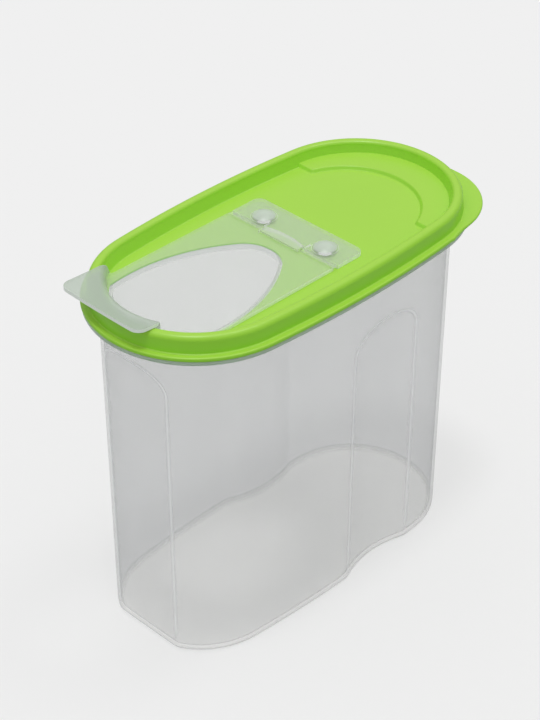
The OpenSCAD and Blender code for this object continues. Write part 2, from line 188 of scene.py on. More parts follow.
class FinishSettings(bpy.types.PropertyGroup):
    """Colours and surface of the two plastics"""
    green: tint("Green", "Colour of the lid's plastic", (0.37, 0.675, 0.06))
    # Painted light: the lid's upright walls get this more saturated green, for how light falls on them,
    # not a colour of the plastic
    deep_green: tint("Deep green", "Colour of the lid's upright walls", (0.335, 0.80, 0.034))
    natural: tint("Natural", "Colour of the uncoloured plastic", (0.69, 0.71, 0.73))
    flap_tint: tint("Flap", "Colour of the flap's plastic", (0.70, 0.725, 0.70))
    lip_tint: tint("Lip", "Colour where the flap's plastic is thick", (0.55, 0.63, 0.54))
    # Painted shade: the rim ring under the flange is tinted darker and green, standing in for its shade
    # and the green lid showing through it
    rim_tint: tint("Rim ring", "Colour of the container's rim under the lid", (0.56, 0.74, 0.56))
    # Painted highlight: creases and edges are mixed towards this whiter colour
    crease_tint: tint("Creases", "Colour where the plastic scatters light", (0.95, 0.965, 0.97))
    # Painted light: the container's floor and its round edges are mixed towards this lighter, warmer
    # colour
    floor_tint: tint("Container floor", "Colour where light gathers", (0.95, 0.93, 0.89))
    # Painted glow: the share of the whiter colour that creases send out as emission
    crease_glow: share("Crease glow", "How much light the creases guide out", 0.28)
    body_cover: share("Container haze", "How much one side of the wall hides", 0.152)
    flap_cover: share("Flap haze", "How much one side of the flap hides", 0.16)
    green_rough: share("Lid roughness", "Satin of the lid", 0.34)
    natural_rough: share("Natural roughness", "Satin of the uncoloured plastic", 0.36)
    grain: length("Grain", "Size of the moulding grain", 0.35)


class StageSettings(bpy.types.PropertyGroup):
    """Floor, light and camera"""
    floor: tint("Floor", "Colour of the floor and the backdrop", (0.862, 0.862, 0.862))
    bounce: share("Floor bounce", "How light the floor is for the object", 0.45)
    paper_glow: share("Paper glow", "Share of the paper's white that no shadow reaches", 0.64)
    sky: strength("Sky", "Strength of the soft light overhead", 0.95)
    horizon: strength("Horizon", "Strength of the soft light from the sides", 0.12)
    key: strength("Key", "Strength of the main lamp", 0.8)
    glint: strength("Glint", "Strength of the lamp that lights the crests", 0.35)
    lens: bpy.props.FloatProperty(
        name="Lens", description="Focal length of the camera", default=109.05,
        min=1.0, subtype="DISTANCE_CAMERA")


def sizes_mm(group):
    """Every length of a settings group, in millimetres."""
    return {key: getattr(group, key) / MM for key in group.__annotations__}


# ---------------------------------------------------------------- outlines

def arc(cx, cy, radius, start, end, steps):
    """Points on an arc, angles in degrees."""
    angles = [math.radians(start + (end - start) * i / steps) for i in range(steps + 1)]
    return [(cx + radius * math.cos(a), cy + radius * math.sin(a)) for a in angles]


UP, DOWN, LEFT, RIGHT = (0, 1), (0, -1), (-1, 0), (1, 0)


def rounded(x, z, corner, start, end):
    """Three points that round a square corner: how far off its ends are, and its middle."""
    reach, cut = corner
    return [(x + start[0] * reach, z + start[1] * reach),
            (x + (start[0] + end[0]) * cut, z + (start[1] + end[1]) * cut),
            (x + end[0] * reach, z + end[1] * reach)]


class Oval:
    """A four-arc oval as columns: points with outward normals, evenly spaced in each arc."""

    def __init__(self, half_l, half_w, end_r, per_end, per_side):
        big = ((half_l - end_r) ** 2 + half_w ** 2 - end_r ** 2) / (2 * (half_w - end_r))
        turn = math.atan2(big - half_w, half_l - end_r)
        arcs = (
            (half_l - end_r, 0, end_r, -turn, turn, per_end),
            (0, half_w - big, big, turn, math.pi - turn, per_side),
            (end_r - half_l, 0, end_r, math.pi - turn, math.pi + turn, per_end),
            (0, big - half_w, big, math.pi + turn, math.tau - turn, per_side),
        )
        self.columns = []
        for cx, cy, radius, start, end, count in arcs:
            for i in range(count):
                a = start + (end - start) * i / count
                self.columns.append(
                    (cx + radius * math.cos(a), cy + radius * math.sin(a), math.cos(a), math.sin(a)))

    def ring(self, out, z):
        """The outline moved outwards by out, at height z."""
        return [(x + nx * out, y + ny * out, z) for x, y, nx, ny in self.columns]


def soft_max(a, b, soft):
    """The larger of two numbers, rounded where they meet."""
    return (a + b + math.sqrt((a - b) ** 2 + soft * soft)) / 2


def ease(x):
    """Smooth step from 0 to 1."""
    x = min(1.0, max(0.0, x))
    return x * x * (3 - 2 * x)


# ---------------------------------------------------------------- meshes

class Shell:
    """Collects points and faces of one mesh, in millimetres."""

    def __init__(self):
        self.points = []
        self.faces = []
        self.masks = {}

    def add(self, points):
        """Adds points and returns their numbers."""
        start = len(self.points)
        self.points.extend(points)
        return list(range(start, start + len(points)))

    def strip(self, first, second, closed=True):
        """Quads between two rows of as many points."""
        count = len(first)
        for i in range(count if closed else count - 1):
            j = (i + 1) % count
            self.faces.append((first[i], first[j], second[j], second[i]))

    def rows(self, rings, closed=True):
        """Adds rings one after another and joins each to the next."""
        ids = [self.add(ring) for ring in rings]
        for first, second in zip(ids, ids[1:]):
            self.strip(first, second, closed)
        return ids

    def join_sheets(self, upper, lower):
        """Closes the gap round two open sheets of rows that lie one over the other."""
        for end in (0, -1):
            self.strip(upper[end], lower[end], closed=False)
        for end in (0, -1):
            self.strip([row[end] for row in upper], [row[end] for row in lower], closed=False)

    def cap(self, ids, flip=False):
        """One face over a closed row."""
        self.faces.append(tuple(reversed(ids)) if flip else tuple(ids))

    def plane(self, outer, holes):
        """Fills a flat outline that has holes."""
        loops = [outer] + holes
        flat = [i for loop in loops for i in loop]
        triangles = tessellate_polygon([[Vector(self.points[i]) for i in loop] for loop in loops])
        self.faces.extend(tuple(flat[k] for k in tri) for tri in triangles)

    def piece(self, name):
        """Makes the object, with its faces turned outwards."""
        mesh = bpy.data.meshes.new(name)
        mesh.from_pydata([(x * MM, y * MM, z * MM) for x, y, z in self.points], [], self.faces)
        work = bmesh.new()
        work.from_mesh(mesh)
        bmesh.ops.recalc_face_normals(work, faces=work.faces)
        work.to_mesh(mesh)
        work.free()
        for label, values in self.masks.items():
            mask = mesh.attributes.new(label, "FLOAT", "POINT")
            mask.data.foreach_set("value", values)
        obj = bpy.data.objects.new(name, mesh)
        bpy.context.scene.collection.objects.link(obj)
        return obj


def mask_by_place(obj, label, rule):
    """Stores a mask on a finished mesh, worked out from each point's place in millimetres."""
    mask = obj.data.attributes.new(label, "FLOAT", "POINT")
    mask.data.foreach_set("value", [rule(*(c / MM for c in v.co)) for v in obj.data.vertices])


def mask_by_face(obj, label, rule):
    """Stores a mask on a finished mesh, worked out from each face's middle and normal."""
    mask = obj.data.attributes.new(label, "FLOAT", "FACE")
    mask.data.foreach_set("value", [rule(*(c / MM for c in f.center), f.normal.z)
                                    for f in obj.data.polygons])


def apply_modifiers(obj):
    """Replaces a mesh by what its modifiers make of it."""
    graph = bpy.context.evaluated_depsgraph_get()
    mesh = bpy.data.meshes.new_from_object(obj.evaluated_get(graph))
    old = obj.data
    obj.modifiers.clear()
    obj.data = mesh
    bpy.data.meshes.remove(old)


def bevel(obj, width_mm, segments=2, angle=40):
    """Rounds the sharp edges."""
    rounding = obj.modifiers.new("rounding", "BEVEL")
    rounding.width = width_mm * MM
    rounding.segments = segments
    rounding.limit_method = "ANGLE"
    rounding.angle_limit = math.radians(angle)
    apply_modifiers(obj)


def unite(obj, others):
    """Joins closed shells into one outer surface."""
    for other in others:
        union = obj.modifiers.new("union", "BOOLEAN")
        union.operation = "UNION"
        union.solver = "EXACT"
        union.object = other
        apply_modifiers(obj)
        mesh = other.data
        bpy.data.objects.remove(other)
        bpy.data.meshes.remove(mesh)


def shade(obj, angle=38):
    """Smooth shading with crisp corners, weighted by face area."""
    for polygon in obj.data.polygons:
        polygon.use_smooth = True
    obj.data.set_sharp_from_angle(angle=math.radians(angle))
    weighted = obj.modifiers.new("weighted", "WEIGHTED_NORMAL")
    weighted.keep_sharp = True
    weighted.weight = 60


def dress(obj, material, node, body=None):
    """Gives a finished piece its material, its slot and its place in the frame."""
    obj.data.materials.clear()
    obj.data.materials.append(material)
    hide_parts(node)
    if body:
        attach(obj, body)


# ---------------------------------------------------------------- materials

def group_tree(name, inputs, outputs):
    """An empty shader group with named sockets, and its two end nodes."""
    tree = bpy.data.node_groups.new(name, "ShaderNodeTree")
    for label, kind, default in inputs:
        socket = tree.interface.new_socket(label, in_out="INPUT", socket_type=kind)
        socket.default_value = default
    for label, kind in outputs:
        tree.interface.new_socket(label, in_out="OUTPUT", socket_type=kind)
    return tree, tree.nodes.new("NodeGroupInput"), tree.nodes.new("NodeGroupOutput")


def set_inputs(tree, node, inputs):
    """Fills a node's inputs, by name or number, with sockets or plain values."""
    for key, value in inputs.items():
        if isinstance(value, bpy.types.NodeSocket):
            tree.links.new(value, node.inputs[key])
        else:
            node.inputs[key].default_value = value


def add_node(tree, kind, inputs, **settings):
    """A new node with its settings and its inputs."""
    node = tree.nodes.new("ShaderNode" + kind)
    for key, value in settings.items():
        setattr(node, key, value)
    set_inputs(tree, node, inputs)
    return node


def noise(tree, vector, scale, detail=2.0, roughness=0.5):
    """A noise texture that reads the object's own coordinates."""
    inputs = {"Vector": vector, "Scale": scale, "Detail": detail, "Roughness": roughness}
    return add_node(tree, "TexNoise", inputs).outputs["Fac"]


def math_node(tree, operation, a, b, clamp=False):
    """The result of one operation on two values or sockets."""
    return add_node(tree, "Math", {0: a, 1: b}, operation=operation, use_clamp=clamp).outputs[0]


def mix_colour(tree, factor, a, b):
    """The socket of a colour between two, each of them a colour or a socket."""
    inputs = {"Factor": factor}
    for label, colour in (("A", a), ("B", b)):
        plain = not isinstance(colour, bpy.types.NodeSocket)
        inputs[label] = (*colour, 1) if plain else colour
    return add_node(tree, "Mix", inputs, data_type="RGBA").outputs["Result"]


def span(tree, *numbers):
    """Maps a value from one range to another: value, low, high, to low, to high."""
    return add_node(tree, "MapRange", dict(enumerate(numbers))).outputs[0]


WAVE_SCALE = 38.0
PATCH_SCALE = 95.0
CLOUD_SCALE = 26.0
CLOUD_STRETCH = (1.0, 1.0, 0.35)


def moulded_surface():
    """Group: fine moulding grain over slow waves, and a roughness that varies in patches."""
    tree, start, end = group_tree(
        "moulded surface",
        (("Grain Scale", "NodeSocketFloat", 2800.0), ("Grain", "NodeSocketFloat", 1.0),
         ("Waves", "NodeSocketFloat", 1.0), ("Roughness", "NodeSocketFloat", 0.4),
         ("Spread", "NodeSocketFloat", 0.05)),
        (("Height", "NodeSocketFloat"), ("Roughness", "NodeSocketFloat")))
    place = tree.nodes.new("ShaderNodeTexCoord").outputs["Object"]
    fine = noise(tree, place, start.outputs["Grain Scale"], 3.0, 0.6)
    slow = noise(tree, place, WAVE_SCALE, 1.0)
    patch = noise(tree, place, PATCH_SCALE, 3.0)
    grain = math_node(tree, "MULTIPLY", fine, start.outputs["Grain"])
    waves = math_node(tree, "MULTIPLY", slow, start.outputs["Waves"])
    height = math_node(tree, "ADD", grain, waves)
    centred = math_node(tree, "SUBTRACT", patch, 0.5)
    spread = math_node(tree, "MULTIPLY", centred, start.outputs["Spread"])
    roughness = math_node(tree, "ADD", spread, start.outputs["Roughness"])
    set_inputs(tree, end, {"Height": height, "Roughness": roughness})
    return tree


def clouded_colour():
    """Group: a plastic's colour with faint flow clouds, and a mask of those clouds."""
    tree, start, end = group_tree(
        "clouded colour",
        (("Color", "NodeSocketColor", (0.5, 0.5, 0.5, 1)), ("Depth", "NodeSocketFloat", 0.06),
         ("Scale", "NodeSocketFloat", CLOUD_SCALE)),
        (("Color", "NodeSocketColor"), ("Mask", "NodeSocketFloat")))
    place = tree.nodes.new("ShaderNodeTexCoord").outputs["Object"]
    stretch = add_node(tree, "Mapping", {"Vector": place, "Scale": CLOUD_STRETCH})
    cloud = noise(tree, stretch.outputs["Vector"], start.outputs["Scale"], 4.0, 0.55)
    centred = math_node(tree, "SUBTRACT", cloud, 0.5)
    change = math_node(tree, "MULTIPLY", centred, start.outputs["Depth"])
    gain = math_node(tree, "ADD", change, 1.0)
    scale = add_node(tree, "VectorMath", {0: start.outputs["Color"], "Scale": gain},
                     operation="SCALE")
    set_inputs(tree, end, {"Color": scale.outputs["Vector"], "Mask": cloud})
    return tree


def shared_group(maker):
    """The group that a maker makes, made once."""
    name = maker.__name__.replace("_", " ")
    return bpy.data.node_groups.get(name) or maker()


def use_group(tree, maker, **values):
    """Places a shared group in a material, with its own values."""
    inputs = {label.replace("_", " "): value for label, value in values.items()}
    return add_node(tree, "Group", inputs, node_tree=shared_group(maker))


GRAIN_SHARE = 0.35
ROUGH_SPREAD = 0.10
BUMP_MM = 0.02
CLOUD_DEPTH = 0.05
CLOUD_RANGE = (0.3, 0.7)
HAZE_RANGE = (0.94, 1.06)
PLASTIC_IOR = 1.49
SLANT_BLEND = 0.35
CREASE_COVER = 0.6
THICK_COVER = 0.5


def moulded_plastic(name, colour, roughness, waves):
    """A plastic's surface: its material, its shader and the group that holds its colour."""
    material = bpy.data.materials.new(name)
    material.use_nodes = True
    tree = material.node_tree
    shader = tree.nodes["Principled BSDF"]
    grain = bpy.context.scene.keeper_finish.grain
    surface = use_group(tree, moulded_surface, Grain_Scale=1.0 / grain, Grain=GRAIN_SHARE,
                        Waves=waves, Roughness=roughness, Spread=ROUGH_SPREAD)
    tone = use_group(tree, clouded_colour, Color=(*colour, 1), Depth=CLOUD_DEPTH)
    bump = add_node(tree, "Bump", {"Strength": 1.0, "Distance": BUMP_MM * MM,
                                   "Height": surface.outputs["Height"]})
    set_inputs(tree, shader, {"Roughness": surface.outputs["Roughness"],
                              "Normal": bump.outputs["Normal"], "IOR": PLASTIC_IOR})
    return material, shader, tone


def solid_plastic(name, colour, wall_shade, roughness, waves):
    """A moulded plastic that hides what lies behind. Its upright walls get a painted, more saturated
    green.
    """
    material, shader, tone = moulded_plastic(name, colour, roughness, waves)
    tree = material.node_tree
    slope = tree.nodes.new("ShaderNodeNewGeometry")
    parts = add_node(tree, "SeparateXYZ", {0: slope.outputs["Normal"]})
    flat = math_node(tree, "ABSOLUTE", parts.outputs["Z"], 0.0)
    # Painted light: faces mix from the upright walls' green to the plastic's own green as they turn
    # flat
    set_inputs(tree, shader, {"Base Color": mix_colour(tree, flat, wall_shade, tone.outputs["Color"])})
    return material


def milky_plastic(name, colour, tints, roughness, waves, cover, edge, passed):
    """A moulded plastic that lets light through. One surface hides the share cover of what
    lies behind, and more where it is seen edge on or where the moulding is thick. Creases
    and edges get a painted highlight: a whiter colour, and a little painted glow sent out
    as emission. Tints are colours for masks. Passed is the share of a shadow that the
    plastic's own light fills in where it is thin."""
    material, shader, tone = moulded_plastic(name, colour, roughness, waves)
    tree = material.node_tree
    finish = bpy.context.scene.keeper_finish
    masks = {}
    for label in (EDGE_HIGHLIGHT, THICK, *tints):
        masks[label] = add_node(tree, "Attribute", {}, attribute_name=label).outputs["Fac"]
    side = tree.nodes.new("ShaderNodeNewGeometry")
    facing = math_node(tree, "SUBTRACT", 1.0, side.outputs["Backfacing"])
    masks[EDGE_HIGHLIGHT] = math_node(tree, "MULTIPLY", masks[EDGE_HIGHLIGHT], facing)
    base = tone.outputs["Color"]
    # Each mask mixes in its colour; the crease mask mixes in a painted highlight
    for label, other in {EDGE_HIGHLIGHT: finish.crease_tint, **tints}.items():
        base = mix_colour(tree, masks[label], base, other)
    # Painted glow: creases send out some of the whiter colour as emission, though no lamp is there
    painted_glow_colour = [c * finish.crease_glow for c in finish.crease_tint]
    glow = mix_colour(tree, masks[EDGE_HIGHLIGHT], (0, 0, 0), painted_glow_colour)

    slant = add_node(tree, "LayerWeight", {"Blend": SLANT_BLEND})
    rim = math_node(tree, "POWER", slant.outputs["Facing"], 2.0)
    more = math_node(tree, "MULTIPLY", rim, edge)
    haze = span(tree, tone.outputs["Mask"], *CLOUD_RANGE, *(cover * k for k in HAZE_RANGE))
    line = math_node(tree, "MULTIPLY", masks[EDGE_HIGHLIGHT], CREASE_COVER)
    bulk = math_node(tree, "MULTIPLY", masks[THICK], THICK_COVER)
    alpha = math_node(tree, "ADD", math_node(tree, "ADD", haze, more),
                      math_node(tree, "ADD", line, bulk), clamp=True)
    path = tree.nodes.new("ShaderNodeLightPath")
    thin = math_node(tree, "SUBTRACT", 1.0, masks[THICK], clamp=True)
    lit = math_node(tree, "MULTIPLY", thin, passed)
    spared = math_node(tree, "MULTIPLY", path.outputs["Is Shadow Ray"], lit)
    blocked = math_node(tree, "SUBTRACT", 1.0, spared)
    set_inputs(tree, shader, {"Base Color": base, "Emission Color": glow, "Emission Strength": 1.0,
                              "Alpha": math_node(tree, "MULTIPLY", alpha, blocked)})
    return material


def finish_material(key):
    """One of the object's plastics, made once."""
    made = bpy.data.materials.get(key)
    if made:
        return made
    f = bpy.context.scene.keeper_finish
    if key == "satin_green":
        return solid_plastic(key, f.green, f.deep_green, f.green_rough, waves=0.5)
    # Painted light on the container's floor through the floor mask
    if key == "milky_wall":
        # Painted shade on the container's rim ring through the tinted mask
        return milky_plastic(key, f.natural, {FLOOR_LIGHT: f.floor_tint, TINTED: f.rim_tint},
                             f.natural_rough, waves=0.8, cover=f.body_cover, edge=0.16, passed=0.8)
    return milky_plastic(key, f.flap_tint, {TINTED: f.lip_tint}, f.natural_rough, waves=0.5,
                         cover=f.flap_cover, edge=0.3, passed=0.5)


# ---------------------------------------------------------------- container

END_COLUMNS = 170
SIDE_COLUMNS = 150
NO_CUT = -40.0
PANEL_SIDE = -0.25
GRIP_SIDE = -0.5
EDGE_HIGHLIGHT_PEAK = 0.6
EDGE_SPREAD = 0.5
EDGE_MASS = 0.3
FLOOR_MASS = -0.1
FLOOR_RING = 0.6
BASE_STEPS = 8
INNER_STEPS = 5
RIM_CORNER = (0.4, 0.12)
NECK_CORNER = (0.5, 0.15)
NECK_TIP = 0.45
# The wall's flare under the rim: heights from the wall's top, and how far out
WALL_FLARE = ((-0.8, 0.08), (-0.25, 0.4), (0.0, 1.1), (0.0, 1.6))
# The inner wall's flare to the neck: heights from the rim's top, and how far out
INNER_FLARE = ((0.0, 0.8), (-0.12, 0.3), (-0.6, 0.0))


def panel_cut(p, x, nx, z, grow):
    """How far in the front panel lies from a point of the wall, along its normal."""
    if nx > PANEL_SIDE:
        return NO_CUT
    lean = p["draft"] / p["wall_height"]
    ramp = p["panel_ramp"] + grow
    face = p["base_half_l"] - p["panel_depth"] - grow + z * lean
    rise = max(0.0, z - p["panel_top"])
    face += ramp - math.sqrt(max(0.0, ramp * ramp - rise * rise))
    return max(NO_CUT, (x + face) / nx)


def grip_cut(p, x, y, nx, ny, z, grow):
    """How far in a grip scoop lies from a point of the wall, along its normal."""
    if ny > GRIP_SIDE:
        return NO_CUT
    lean = p["draft"] / p["wall_height"]
    ramp = p["grip_ramp"] + grow
    rise = max(0.0, z - p["grip_top"])
    radius = p["grip_radius"] + grow - ramp + math.sqrt(max(0.0, ramp * ramp - rise * rise))
    deepest = p["base_half_w"] - p["grip_depth"]
    qx = x - p["grip_x"]
    qy = y + deepest + p["grip_radius"] + z * lean
    along = qx * nx + qy * ny
    inside = along * along - (qx * qx + qy * qy - radius * radius)
    if inside < 0:
        return NO_CUT
    return max(NO_CUT, along + math.sqrt(inside))


def wall_ring(p, base, z, grow=0.0, cut_z=None, extra=0.0, creases=None):
    """The wall's outline at a height. grow moves it inwards by the wall; extra outwards.
    creases collects a painted highlight for each point, strongest at the edge of a cut."""
    cut_z = z if cut_z is None else cut_z
    out = p["draft"] * cut_z / p["wall_height"] - grow
    ring = []
    for x, y, nx, ny in base.columns:
        qx, qy = x + nx * out, y + ny * out
        cut = panel_cut(p, qx, nx, cut_z, grow)
        grip = max(grip_cut(p, qx, qy, nx, ny, cut_z, grow),
                   grip_cut(p, qx, -qy, nx, -ny, cut_z, grow))
        if creases is not None:
            # Painted highlight, strongest on the edges of the panel and the grips
            creases.append(EDGE_HIGHLIGHT_PEAK * math.exp(-(max(cut, grip) / EDGE_SPREAD) ** 2))
        cut = soft_max(soft_max(cut, grip, p["crease"] / 2), 0.0, p["crease"]) - extra
        ring.append((qx - nx * cut, qy - ny * cut, z))
    return ring


def steps(start, end, count):
    """Evenly spaced numbers, both ends included."""
    return [start + (end - start) * i / count for i in range(count + 1)]


def container_mesh(p, lid):
    """Drafted oval wall with its panel and grips, rim ring, neck and hollow inside."""
    p["base_half_l"] = lid["half_length"] - p["inset_x"]
    p["base_half_w"] = lid["half_width"] - p["inset_y"]
    base = Oval(p["base_half_l"], p["base_half_w"], p["base_half_w"] - p["end_relief"],
                END_COLUMNS, SIDE_COLUMNS)
    rim = Oval(lid["half_length"], lid["half_width"], lid["half_width"] - lid["end_relief"],
               END_COLUMNS, SIDE_COLUMNS)
    top = p["wall_height"]
    rim_top = top + p["rim"]
    neck_top = rim_top + p["neck_height"]
    r, w = p["base_round"], p["wall"]
    rings = []
    masks = {EDGE_HIGHLIGHT: [], THICK: [], FLOOR_LIGHT: [], TINTED: []}

    def put(ring, crease=0.0, mass=0.0, floor_light=0.0, tinted=0.0):
        rings.append(ring)
        for label, value in ((EDGE_HIGHLIGHT, crease), (THICK, mass), (FLOOR_LIGHT, floor_light), (TINTED, tinted)):
            masks[label].extend(value if isinstance(value, list) else [value] * len(ring))

    # Painted light on the container's floor, fading up the base's round edge
    put(wall_ring(p, base, 0.0, cut_z=r, extra=-r - FLOOR_RING), mass=FLOOR_MASS, floor_light=1.0)
    # Painted highlight along the base's round edge
    for i in range(BASE_STEPS + 1):
        a = math.pi / 2 * i / BASE_STEPS
        put(wall_ring(p, base, r - r * math.cos(a), cut_z=r, extra=r * math.sin(a) - r),
            crease=EDGE_HIGHLIGHT_PEAK * math.sin(2 * a), mass=EDGE_MASS * math.sin(2 * a),
            floor_light=1 - i / BASE_STEPS)
    ramps = p["grip_top"] - 2.0
    for z in steps(r, ramps - 1.0, 15)[1:] + steps(ramps, top - 1.5, 44):
        edges = []
        put(wall_ring(p, base, z, creases=edges), crease=edges)
    # The flare under the rim takes most of the rim's painted shade
    for rise, out in WALL_FLARE:
        put(wall_ring(p, base, top + rise, extra=out), mass=0.6, tinted=0.8)
    out = -p["rim_inset"]
    section = [(out - 2 * RIM_CORNER[0], top)]
    section += rounded(out, top, RIM_CORNER, LEFT, UP)
    section += rounded(out, rim_top, RIM_CORNER, DOWN, LEFT)
    # Painted shade on the rim ring
    for d, z in section:
        put(rim.ring(d, z), mass=1.0, tinted=1.0)
    face = -p["neck_inset"]
    back = face - p["neck"]
    section = rounded(face, rim_top, NECK_CORNER, RIGHT, UP)
    section += rounded(face, neck_top, NECK_CORNER, DOWN, LEFT)[:2]
    section += [(face - NECK_TIP, neck_top), (back + NECK_TIP, neck_top)]
    section += rounded(back, neck_top, NECK_CORNER, RIGHT, DOWN)[1:]
    section += rounded(back, rim_top, NECK_CORNER, UP, LEFT)
    for d, z in section:
        put(rim.ring(d, z))
    for rise, out in INNER_FLARE:
        put(wall_ring(p, base, rim_top + rise, grow=w, extra=out))
    inner = r - 1.0
    cut_z = p["floor"] + inner
    for z in steps(top - 1.8, ramps, 28) + steps(ramps - 11.0, cut_z, 8):
        put(wall_ring(p, base, z, grow=w))
    # Painted light on the inner floor, fading up its round edge
    for i in range(1, INNER_STEPS + 1):
        a = math.pi / 2 * i / INNER_STEPS
        put(wall_ring(p, base, cut_z - inner * math.sin(a), grow=w, cut_z=cut_z,
                      extra=-inner * (1 - math.cos(a))),
            mass=EDGE_MASS * math.sin(2 * a), floor_light=i / INNER_STEPS)
    put(wall_ring(p, base, p["floor"], grow=w, cut_z=cut_z, extra=-inner - FLOOR_RING),
        mass=FLOOR_MASS, floor_light=1.0)
    shell = Shell()
    ids = shell.rows(rings)
    shell.cap(ids[0], flip=True)
    shell.cap(ids[-1])
    shell.masks = masks
    return shell


# ---------------------------------------------------------------- lid

BEAD_LEAN = 0.3
BEAD_FOOT = 0.75
BEAD_SOFT = 0.6
LEG = 0.4
NECK_GAP = 0.35
CAVITY_ROUND = 1.0
CHAMFER = 0.25
# The flange's edge, out and up from its underside and then from its top
FLANGE_LOW = ((-0.9, 0.0), (-0.45, 0.0), (-0.13, 0.13), (0.0, 0.45))
FLANGE_HIGH = ((0.0, -0.85), (-0.06, -0.52), (-0.25, -0.25), (-0.52, -0.06), (-0.85, 0.0),
               (-1.4, 0.0))
RECESS_FILLET = 0.8
FLOOR_START = 1.1
# The opening's edge, inwards and up from the floor's top and then from its underside
MOUTH_HIGH = ((-0.9, 0.0), (-0.4, 0.0), (-0.1, -0.12), (0.0, -0.4))
MOUTH_LOW = ((0.0, 0.3), (-0.3, 0.0), (-0.8, 0.0))
PEG_GAP = 0.15
TAB_SOFT = 0.8
TAB_RAMP = 2.0
# The step's slope: distance forwards and share of its height
STEP_SLOPE = ((-0.1, 0.08), (0.2, 0.28), (0.6, 0.66), (0.85, 0.84), (1.15, 0.95), (1.6, 1.0))
STEP_CORNER = 2.5


def mouth_outline(s, lid, inwards):
    """Outline of the pour opening, drawn inwards by a distance."""
    centre_x = lid["half_length"] - (lid["half_width"] - lid["end_relief"])
    front_r = recess_radius(lid) - s["mouth_ledge"]
    tip_c = s["mouth_tip_x"] + s["mouth_tip_radius"]
    run = s["mouth_wide_x"] - tip_c
    half_w, tip_r, corner = s["mouth_half_width"], s["mouth_tip_radius"], s["mouth_corner"]
    side_r = (run ** 2 + half_w ** 2 - tip_r ** 2) / (2 * (half_w - tip_r))
    drop = side_r - half_w
    side_c = (-s["mouth_wide_x"], -drop)
    front_c = (-centre_x, 0.0)
    to_corner, to_front = side_r - corner, front_r - corner
    gap = math.dist(front_c, side_c)
    along = (to_corner ** 2 - to_front ** 2 + gap ** 2) / (2 * gap)
    off = math.sqrt(to_corner ** 2 - along ** 2)
    ux, uy = (front_c[0] - side_c[0]) / gap, (front_c[1] - side_c[1]) / gap
    corner_c = (side_c[0] + along * ux - off * uy, side_c[1] + along * uy + off * ux)
    tip_a = math.degrees(math.atan2(drop, run))
    side_a = math.degrees(math.atan2(corner_c[1] - side_c[1], corner_c[0] - side_c[0]))
    front_a = math.degrees(math.atan2(corner_c[1], corner_c[0] - front_c[0]))
    half = (arc(-tip_c, 0, tip_r - inwards, 0, tip_a, 16)
            + arc(side_c[0], side_c[1], side_r - inwards, tip_a, side_a, 22)[1:]
            + arc(corner_c[0], corner_c[1], corner - inwards, side_a, front_a, 8)[1:]
            + arc(front_c[0], front_c[1], front_r - inwards, front_a, 180, 18)[1:])
    return half + [(x, -y) for x, y in reversed(half[1:-1])]


def recess_radius(lid):
    """Radius of the recess floor's round ends."""
    return (lid["half_width"] - lid["end_relief"] - lid["bead_inset"] - BEAD_LEAN
            - lid["bead_width"] - lid["lean"])


def peg_place(s):
    """Where the pegs stand along the length."""
    return s["hinge_x"] + s["groove"] / 2 + s["peg_setback"]


def tab_extent(lid, nx, ny):
    """How far the pull tab reaches past the flange in the direction of a column."""
    if nx < 0.2:
        return 0.0
    end_r = lid["half_width"] - lid["end_relief"]
    centre = lid["half_length"] - end_r
    side = abs(ny)
    hub = lid["half_length"] + lid["tab_reach"] - lid["tab_radius"] - centre
    flat = (hub + lid["tab_radius"]) / nx
    if flat * side <= lid["tab_spread"]:
        return flat - end_r
    toward = hub * nx + lid["tab_spread"] * side
    inside = lid["tab_radius"] ** 2 - hub ** 2 - lid["tab_spread"] ** 2 + toward ** 2
    return toward + math.sqrt(max(0.0, inside)) - end_r


